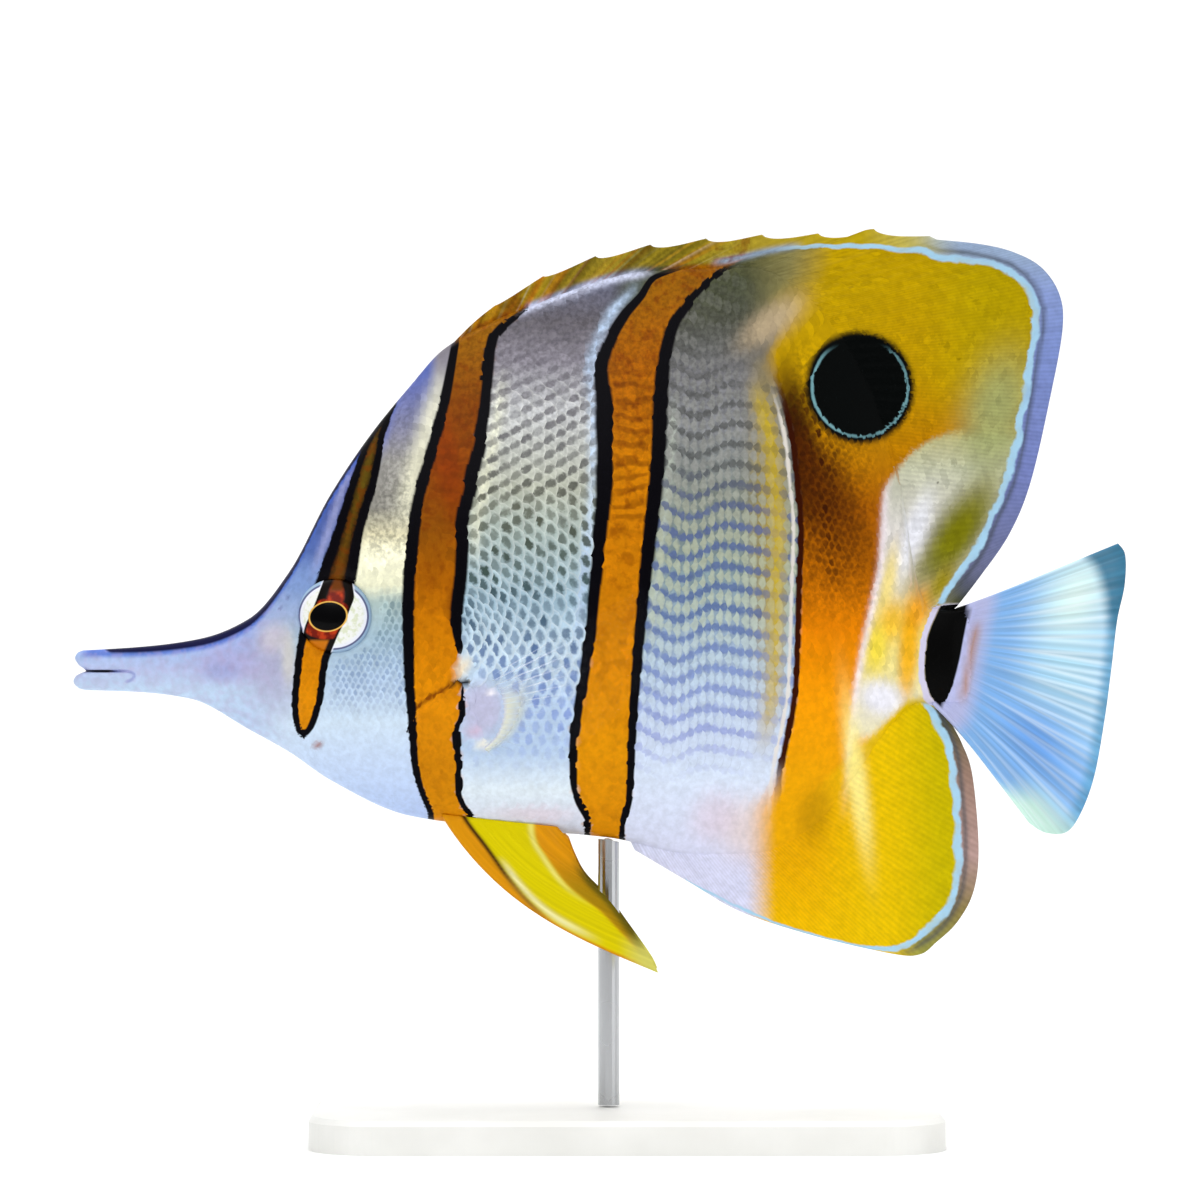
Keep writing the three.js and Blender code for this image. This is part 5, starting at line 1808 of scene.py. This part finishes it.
ZONES = {
    "head": (climb(0.5, 4, 24), smooth_line([[26, 0.52], [44, 0.56], [52, 0.66], [62, 0.85]]), 27, 44, 64),
    "shoulder": (climb(0.62, 0, 20, 0.2), smooth_line([[50, 0.8], [60, 1.16], [95, 1.2]]), 53, 70, 94),
    "flank": (climb(0, 0, 1), smooth_line([[76, 0.92], [104, 0.92], [116, 0.7], [130, 0.58]]), 77, 92, 131.5),
}


def row_places(zone):
    """x, w, size, row slope and row number of a zone's scales. Rows start at a middle line, a pitch apart
    across their own direction: dz = pitch / cos(turn), shifted by -sin(turn) so that the net stays square."""
    slope_at, size_at, front, middle, rear = ZONES[zone]
    line = np.linspace(front, rear, 600)
    rows = []
    for way in (1, -1):
        z, shift, number = LEVEL, 0.0, 0
        while ROWS_FROM < z < ROWS_TO:
            if number or way > 0:
                slope = float(slope_at(z))
                spacing = PITCH * size_at(line) * FLANK_NARROW[zone] / np.hypot(1, slope)
                count = np.concatenate([[0], np.cumsum(np.diff(line) / spacing[:-1])])
                count -= np.interp(middle, line, count)
                places = np.arange(np.ceil(count[0]), np.floor(count[-1])) + 0.5 * (number % 2) - shift
                x = np.interp(places[(places > count[0]) & (places < count[-1])], count, line)
                grown = (z - LEVEL) * size_at(x) / size_at(middle)
                height = LEVEL + grown + slope * (x - middle)
                if zone == "flank":
                    height = height + waves(x - flank_band_back(height))
                row = [x, height - wide_level(x), size_at(x), 0 * x + slope, 0 * x + number]
                rows.append(np.stack(row, axis=1))
            turn = np.arctan(slope)
            z += way * PITCH * float(size_at(middle)) / np.cos(turn)
            shift += way * np.sin(turn)
            number += way
    return np.concatenate(rows).T


print({zone: row_places(zone).shape[1] for zone in ZONES}, "places for scales before any is left out")

# %% [markdown]
# Each scale has a spot of its own: dark between the front bands, pale and blue by turns behind the second,
# and brown in the rear band. Its colour, strength and size are worked out at the scale's free part, so
# that a whole scale has one colour. Colouring each point by itself would smear the rows. The half sizes
# are listed for pale and blue rows, head, plain and streaked front scales, and the net of the rear band.

# %% Spots of the scales
FRONT_SPOT = chips(
    (-12, (140, 162, 216)), (-6, (112, 136, 204)), (0, (88, 116, 172)), (6, (60, 86, 112)),
    (14, (48, 68, 60)), (24, (78, 80, 66)), (34, (104, 104, 106)), (44, (98, 94, 104)),
)
PALE_ROW = chips(
    (-12, (204, 216, 238)), (0, (186, 206, 222)), (8, (180, 192, 176)), (18, (172, 178, 154)),
    (30, (146, 148, 144)), (44, (124, 124, 120)),
)
BLUE_ROW = chips(
    (-12, (150, 160, 214)), (0, (118, 138, 192)), (8, (80, 102, 154)), (22, (84, 98, 146)),
    (30, (86, 88, 88)), (44, (80, 80, 76)),
)
CHEEK_LOW, CHEEK_HIGH = pigment(104, 128, 176), pigment(84, 112, 124)
BAND_SPOT, REAR_SPOT = pigment(132, 62, 0), pigment(58, 20, 0)
FLANK_FROM = 80
SPOT_LENGTHS = (0.36, 0.5, 0.26, 0.22, 0.46, 0.3)
SPOT_HEIGHTS = (0.62, 0.36, 0.42, 0.4, 0.24, 0.42)


def spot_colour(x, z, even, in_head, in_band, in_rear):
    """The chips of the place's own rows, then those of the cheek, the orange bands and the rear band."""
    rear = np.where(even[:, None], shade_along(z, PALE_ROW), shade_along(z, BLUE_ROW))
    colour = blend(shade_along(z, FRONT_SPOT), rear, step(x, 80, 84)[:, None])
    cheek = blend(CHEEK_LOW, CHEEK_HIGH, step(z, 0, 7)[:, None])
    for there, chip in ((in_head, cheek), (in_band, BAND_SPOT), (in_rear, REAR_SPOT)):
        colour = np.where(there[:, None], chip, colour)
    return colour


def spot_strength(x, z, fields, rough, in_head, in_band, in_rear, cheek):
    """Share of a spot's colour: full on the trunk, less on gold and on pale patches, weak in the bands."""
    behind_second = 0.8 * step(z, -18, -8) * (1 - 0.8 * soft_line(fields["rear_band"], -3.4, 1.5))
    ahead_of_it = blend(0.8, 0.95, step(z, -6, 5)) * step(z, -16, -9) * rough
    strength = np.where(x > FLANK_FROM, behind_second, ahead_of_it) * (1 - 0.5 * step(z, 34, 50))
    strength = strength * np.where(z < 3, step(behind(cheek_band_back, x, z), 1, 3), 1)
    strength = strength * (1 - patch(x, z, (61.8, -6.5), (4.2, 5.8), 0.1, 3))
    net = np.clip(1 - np.abs(x - 112 - 0.1 * (30 - z)) / 6.5, 0, 1) * step(z, 6, 20)
    strength = np.where(in_head, 0.6 * cheek * rough, strength)
    return np.where(in_band, 0.3 * (1 - rough), np.where(in_rear, 0.95 * net * rough, strength))


def cell_paint(x, z, row, fields):
    """Each scale's spot: colour, strength, half sizes as shares of the scale, and strength of its rim, above
    0 for a painted highlight and below 0 for a painted shadow.
    """
    even, rear_rows = row % 2 == 0, x > FLANK_FROM
    streaky = step(z - 0.5 * (x - 60), 17, 23)
    rough = 1 - 0.5 * rng.random(len(x))
    in_head = behind(cheek_band_middle, x, z) < 0
    in_band, in_rear = fields["band"] > 0.3, fields["rear_band"] > 0
    cheek = window(z, -8, -3, 9, 13) * step(behind(eye_band_back, x, z), 0, 2)
    strength = spot_strength(x, z, fields, rough, in_head, in_band, in_rear, cheek)
    halves = []
    for pale, blue, head, plain, streaked, net in (SPOT_LENGTHS, SPOT_HEIGHTS):
        half = np.where(in_head, head, blend(plain, streaked, streaky))
        half = np.where(rear_rows, np.where(even, pale, blue), half)
        halves.append(np.where(in_rear, net, half))
    gold_back = (x > 94) & (z > 46 - 0.3 * (x - 94))
    strength = np.where(gold_back, 0.2 * fade(x, 96, 104), strength)
    # light: share of the rim's painted highlight; even rear rows get a painted shadow on the rim instead, as
    # a value below 0
    light = np.where(in_head, 0.7 * cheek, 0.85 * window(z, -12, -2, 40, 50))
    rim = np.where(x > 82, -0.9 * (even & (z > -14) & (z < 30)), light)
    bare = (fields["band"] > -1.6) | in_rear | gold_back
    colour = spot_colour(x, z, even, in_head, in_band, in_rear)
    return colour, strength, *halves, np.where(bare, 0.0, rim)


print("spots take", len(FRONT_SPOT[0]) + len(PALE_ROW[0]) + len(BLUE_ROW[0]), "chips")

# %% [markdown]
# Laid scales become one piece for each zone and side. A piece this large is built once, from whole arrays:
# the same 26 points and 48 triangles for every scale. Copies of one scale object would be far slower.

# %% Scales on the body
SCALE_POINTS = 2 * RIM + 2
FREE_PART = 0.6
SPOT_CENTRE = 0.58
LEAST_UNEVEN, MOST_UNEVEN = 0.012, 0.05
SCALES_FROM, SCALES_TO = 27.5, 131
EYE_CLEARANCE = 1.0
SLIT_FROM, SLIT_TO = -0.55, 0.1
KEPT_CRISP = ("ocellus", "stripe", "tail_bar", "tail_line", "crown")


def dress(name, side, points, row, bake):
    """Turn laid scales into a painted piece, each with a patch of the bake map at its root's place."""
    count = len(points)
    x, half, z = np.moveaxis(points, -1, 0)
    faces = scale_faces[None] + SCALE_POINTS * np.arange(count)[:, None, None]
    faces = faces if side < 0 else faces[..., ::-1]
    piece = make_piece(name, in_model(x, side * half, z), faces.reshape(-1, 3))
    ends = np.empty(2 * len(piece.data.edges), np.int32)
    piece.data.edges.foreach_get("vertices", ends)
    on_rim = (ends % SCALE_POINTS > RIM) & (ends % SCALE_POINTS <= 2 * RIM)
    creased = piece.data.attributes.new("sharp_edge", "BOOLEAN", "EDGE")
    creased.data.foreach_set("value", on_rim.reshape(-1, 2).all(axis=1))
    shown_x, shown_z = (blend(v[:, 0], v[:, 1 + RIM], FREE_PART) for v in (x, z))
    mixed_x, mixed_z = blend(x, shown_x[:, None], RAGGED).ravel(), blend(z, shown_z[:, None], RAGGED).ravel()
    uneven = MOST_UNEVEN * step(shown_z, -12, 4) * step(shown_x, 32, 44) + LEAST_UNEVEN
    tone = np.repeat(1 + uneven * rng.standard_normal(count), SCALE_POINTS)[:, None]
    paint(piece, mixed_x, mixed_z, np.clip(wash(mixed_x, mixed_z) * tone, 0, 1))
    true_fields = band_fields(x.ravel(), z.ravel())
    for field in KEPT_CRISP:
        write_field(piece, field, true_fields[field])
    colour, strength, long, tall, rim = cell_paint(shown_x, shown_z, row, band_fields(shown_x, shown_z))
    a, b = scale_flat.T
    # the rim's painted highlight or painted shadow grows out towards the scale's free edge
    edge = np.hypot(a, b) * (a > -0.2) * rim[:, None]
    spot = np.stack([(a - SPOT_CENTRE) / long[:, None], b / tall[:, None], edge], axis=-1)
    write_field(piece, "in_spot", spot, "FLOAT_VECTOR")
    cell = np.concatenate([colour, strength[:, None]], axis=1)
    write_field(piece, "cell", np.repeat(cell, SCALE_POINTS, axis=0), "FLOAT_COLOR")
    corners = (bake[:, None] + scale_flat * (BAKE_PATCH / 2)).reshape(-1, 2)[faces.reshape(-1)]
    piece.data.uv_layers.new(name="OFBake").data.foreach_set("uv", corners.astype(np.float32).ravel())
    piece.data.materials.append(scale_material)
    return piece


def scale_stays(zone, x, w, z):
    """True where a scale is in the zone and clear of the gill slit, eye, fin root, mouth and tail root."""
    low, high = np.interp(x, station_x, sheet_low), np.interp(x, station_x, sheet_high)
    behind_cheek = behind(cheek_band_middle, x, z) > 0
    behind_flank = behind(flank_band_middle, x, z) > 0
    zones = {"head": ~behind_cheek, "shoulder": behind_cheek & ~behind_flank, "flank": behind_flank}
    inside = gill_inside(x, z)
    in_slit = (inside > SLIT_FROM) & (inside < SLIT_TO) & (gill_share(x, z) > 0.2)
    off_eye = np.hypot(x - EYE_AT[0], z - EYE_AT[1]) > EYE_RADIUS + EYE_CLEARANCE
    on_sheet = (w > low + 0.2) & (w < high - 0.2) & (x > SCALES_FROM) & (x < SCALES_TO)
    return on_sheet & zones[zone] & ~in_slit & off_eye & (pectoral_bulge(x, z) < 0.25)


def body_scales(zone):
    """A zone's scales on both sides: half axes of cos and sin of the row's turn, times pitch and size."""
    x, w, size, slope, row = row_places(zone)
    x = x + ALONG_JITTER * size * rng.standard_normal(len(x))
    w = w + ACROSS_JITTER * size * rng.standard_normal(len(x))
    z = on_flank(x, w)[:, 2]
    kept = scale_stays(zone, x, w, z)
    x, w, z, size, slope, row = (v[kept] for v in (x, w, z, size, slope, row))
    turn = np.arctan(slope)
    stretch = PITCH * size * (1 + SIZE_JITTER * rng.standard_normal(len(x)))
    half_length = HALF_LENGTH * FLANK_NARROW[zone] * stretch
    along = np.stack([np.cos(turn), np.sin(turn)], axis=1) * half_length[:, None]
    across = np.stack([-np.sin(turn), np.cos(turn)], axis=1) * (HALF_HEIGHT * stretch)[:, None]
    fine = blend(0.15, 1, step(z, -15, np.where(x < 56, 2, -4)))
    fine = fine * blend(0.4, 1, step(behind(eye_band_front, x, z), 0, 3))
    points = lay_scales(on_flank, x, w, along, across, step(x, 26, 33) * np.clip(size, 0.6, 1) * fine)
    bake = np.stack([(x - BAKE_FROM) / BAKE_LENGTH, (w - SHEET_LOW) / (SHEET_HIGH - SHEET_LOW)], axis=1)
    for name, side in SIDES:
        dress(f"scales_{zone}_{name}", side, points, row.astype(int), bake)


for zone in ZONES:
    body_scales(zone)

# %% [markdown]
# The dorsal and anal fins carry scales too, smaller ones, in rows that follow the rays out to the blue
# line. Among the spines there are none. A fin's sheet is its blade, over the ray's number and the share
# out, so the same plates are laid on it. A finish of their own would be less work, but would leave the
# fins smooth.

# %% Rows on the fins
FIN_PITCH = 1.1
FIN_SCALE_HEIGHT = 0.35
FIN_SCALES_FROM = 98
FROM_FLANK = 1.6
SCALES_TO_STRIPE = -1.6
FREE_ROWS = 7
FREE_COLUMNS = (4, 5)


def blade_sheet(points):
    """A reader of a blade's left face: (x, half, z) in millimetres at a column and a row number."""
    face = points[:, :OUTWARD]
    table = np.stack([
        (face[..., 0] + TOTAL_LENGTH / 2) / MM,
        -face[..., 1] / MM,
        (face[..., 2] - MOUTH_HEIGHT) / MM,
    ], axis=-1)

    def sample(column, row):
        """In straight lines between the four nearest points of the face."""
        column = np.clip(column, 0, len(table) - 1.001)
        row = np.clip(row, 0, OUTWARD - 1.001)
        i, j = column.astype(int), row.astype(int)
        return four_nearest(table, i, j, (column - i)[..., None], (row - j)[..., None])

    return sample, table


def fin_scales(name, blade_points, number, facing):
    """Scales in arcs, one arc each pitch along the rays, spread evenly along each arc. facing is 1 where the
    rays turn clockwise from the first to the last, seen from the left, and -1 otherwise."""
    sample, table = blade_sheet(blade_points)
    gaps = np.diff(table[..., [0, 2]], axis=1, prepend=table[:, :1, [0, 2]])
    way = np.cumsum(np.hypot(*gaps.T), axis=0).T
    columns = np.arange(len(table))
    found = []
    for k in range(int(way.max() / FIN_PITCH)):
        row = np.array([np.interp(k * FIN_PITCH, w, np.arange(OUTWARD)) for w in way])
        arc = sample(columns.astype(float), row)
        gap = np.hypot(np.diff(arc[:, 0]), np.diff(arc[:, 2]))
        reach = np.concatenate([[0], np.cumsum(gap)])
        at = np.arange(0.3 + 0.5 * (k % 2), reach[-1] / FIN_PITCH) * FIN_PITCH
        column = np.interp(at, reach, columns)
        found.append(np.stack([column, np.interp(column, columns, row), 0 * column + k], axis=1))
    p, q, row = np.concatenate(found).T
    here, out, on = sample(p, q), sample(p, q + 0.5), sample(p + 0.5, q)
    per_out = np.hypot(*(out - here)[:, [0, 2]].T) * 2 + 1e-6
    per_on = np.hypot(*(on - here)[:, [0, 2]].T) * 2 + 1e-6
    x, _, z = here.T
    off_flank = np.where(z > 5, z > back_line(x) - FROM_FLANK, z < belly_line(x) + FROM_FLANK)
    kept = (beside_stripe(x, z) < SCALES_TO_STRIPE) & off_flank & (q < OUTWARD - FREE_ROWS)
    kept &= (p > FREE_COLUMNS[0]) & (p < len(table) - FREE_COLUMNS[1])
    kept &= (per_on > 0.02) & ((z < 5) | (x > FIN_SCALES_FROM))
    p, q, row, per_out, per_on = (v[kept] for v in (p, q, row, per_out, per_on))
    size = FIN_PITCH * (1 + 0.04 * rng.standard_normal(len(p)))
    along = np.stack([0 * p, HALF_LENGTH * size / per_out], axis=1)
    across = np.stack([-facing * HALF_HEIGHT * size / per_on, 0 * p], axis=1)
    points = lay_scales(sample, p, q, along, across, np.full(len(p), FIN_SCALE_HEIGHT))
    bake = np.stack([0.02 + 0.96 * p / len(table), 0.02 + 0.96 * q / OUTWARD], axis=1)
    column = p[:, None] + scale_flat[:, 1] * across[:, :1]
    ray_number = np.interp(column, np.arange(len(table)), number[:, 0]).ravel()
    for side_name, side in SIDES:
        piece = dress(f"scales_{name}_{side_name}", side, points, row.astype(int), bake)
        write_field(piece, "ray_number", ray_number)


fin_scales("dorsal", dorsal_points, dorsal_number, 1)
fin_scales("anal", anal_points, anal_number, -1)

# %% [markdown]
# The stand keeps its solids. The base is satin acrylic, cast with the faintest grain, and the rod is
# turned steel with fine rings along it. Flat colours would do at this size, but would look like paper
# close up.

# %% Stand
base_finish = Finish("stand_base_acrylic")
base_where = base_finish.place()
base_cloud = base_finish.ramp(base_finish.noise(base_where, 60, 4), 0.3, 0.7)
base_finish.set(
    base_color=base_finish.mix(base_cloud, pigment(228, 228, 224), pigment(238, 238, 235)),
    roughness=base_finish.ramp(base_cloud, 0, 1, 0.38, 0.5),
)
base_finish.bump(base_finish.noise(base_where, 1800, 3), 0.00002, 0.4)
rod_finish = Finish("stand_rod_steel")
rod_rings = rod_finish.noise(rod_finish.place(), 40, 1)
rod_finish.set(
    base_color=pigment(190, 192, 195),
    metallic=1.0,
    roughness=rod_finish.ramp(rod_rings, 0.3, 0.7, 0.22, 0.36),
)
for node, finish in (("stand_base", base_finish), ("stand_rod", rod_finish)):
    stand = bpy.data.objects[node]
    stand.data.materials.clear()
    stand.data.materials.append(finish.material)
    print(node, "wears", finish.material.name)
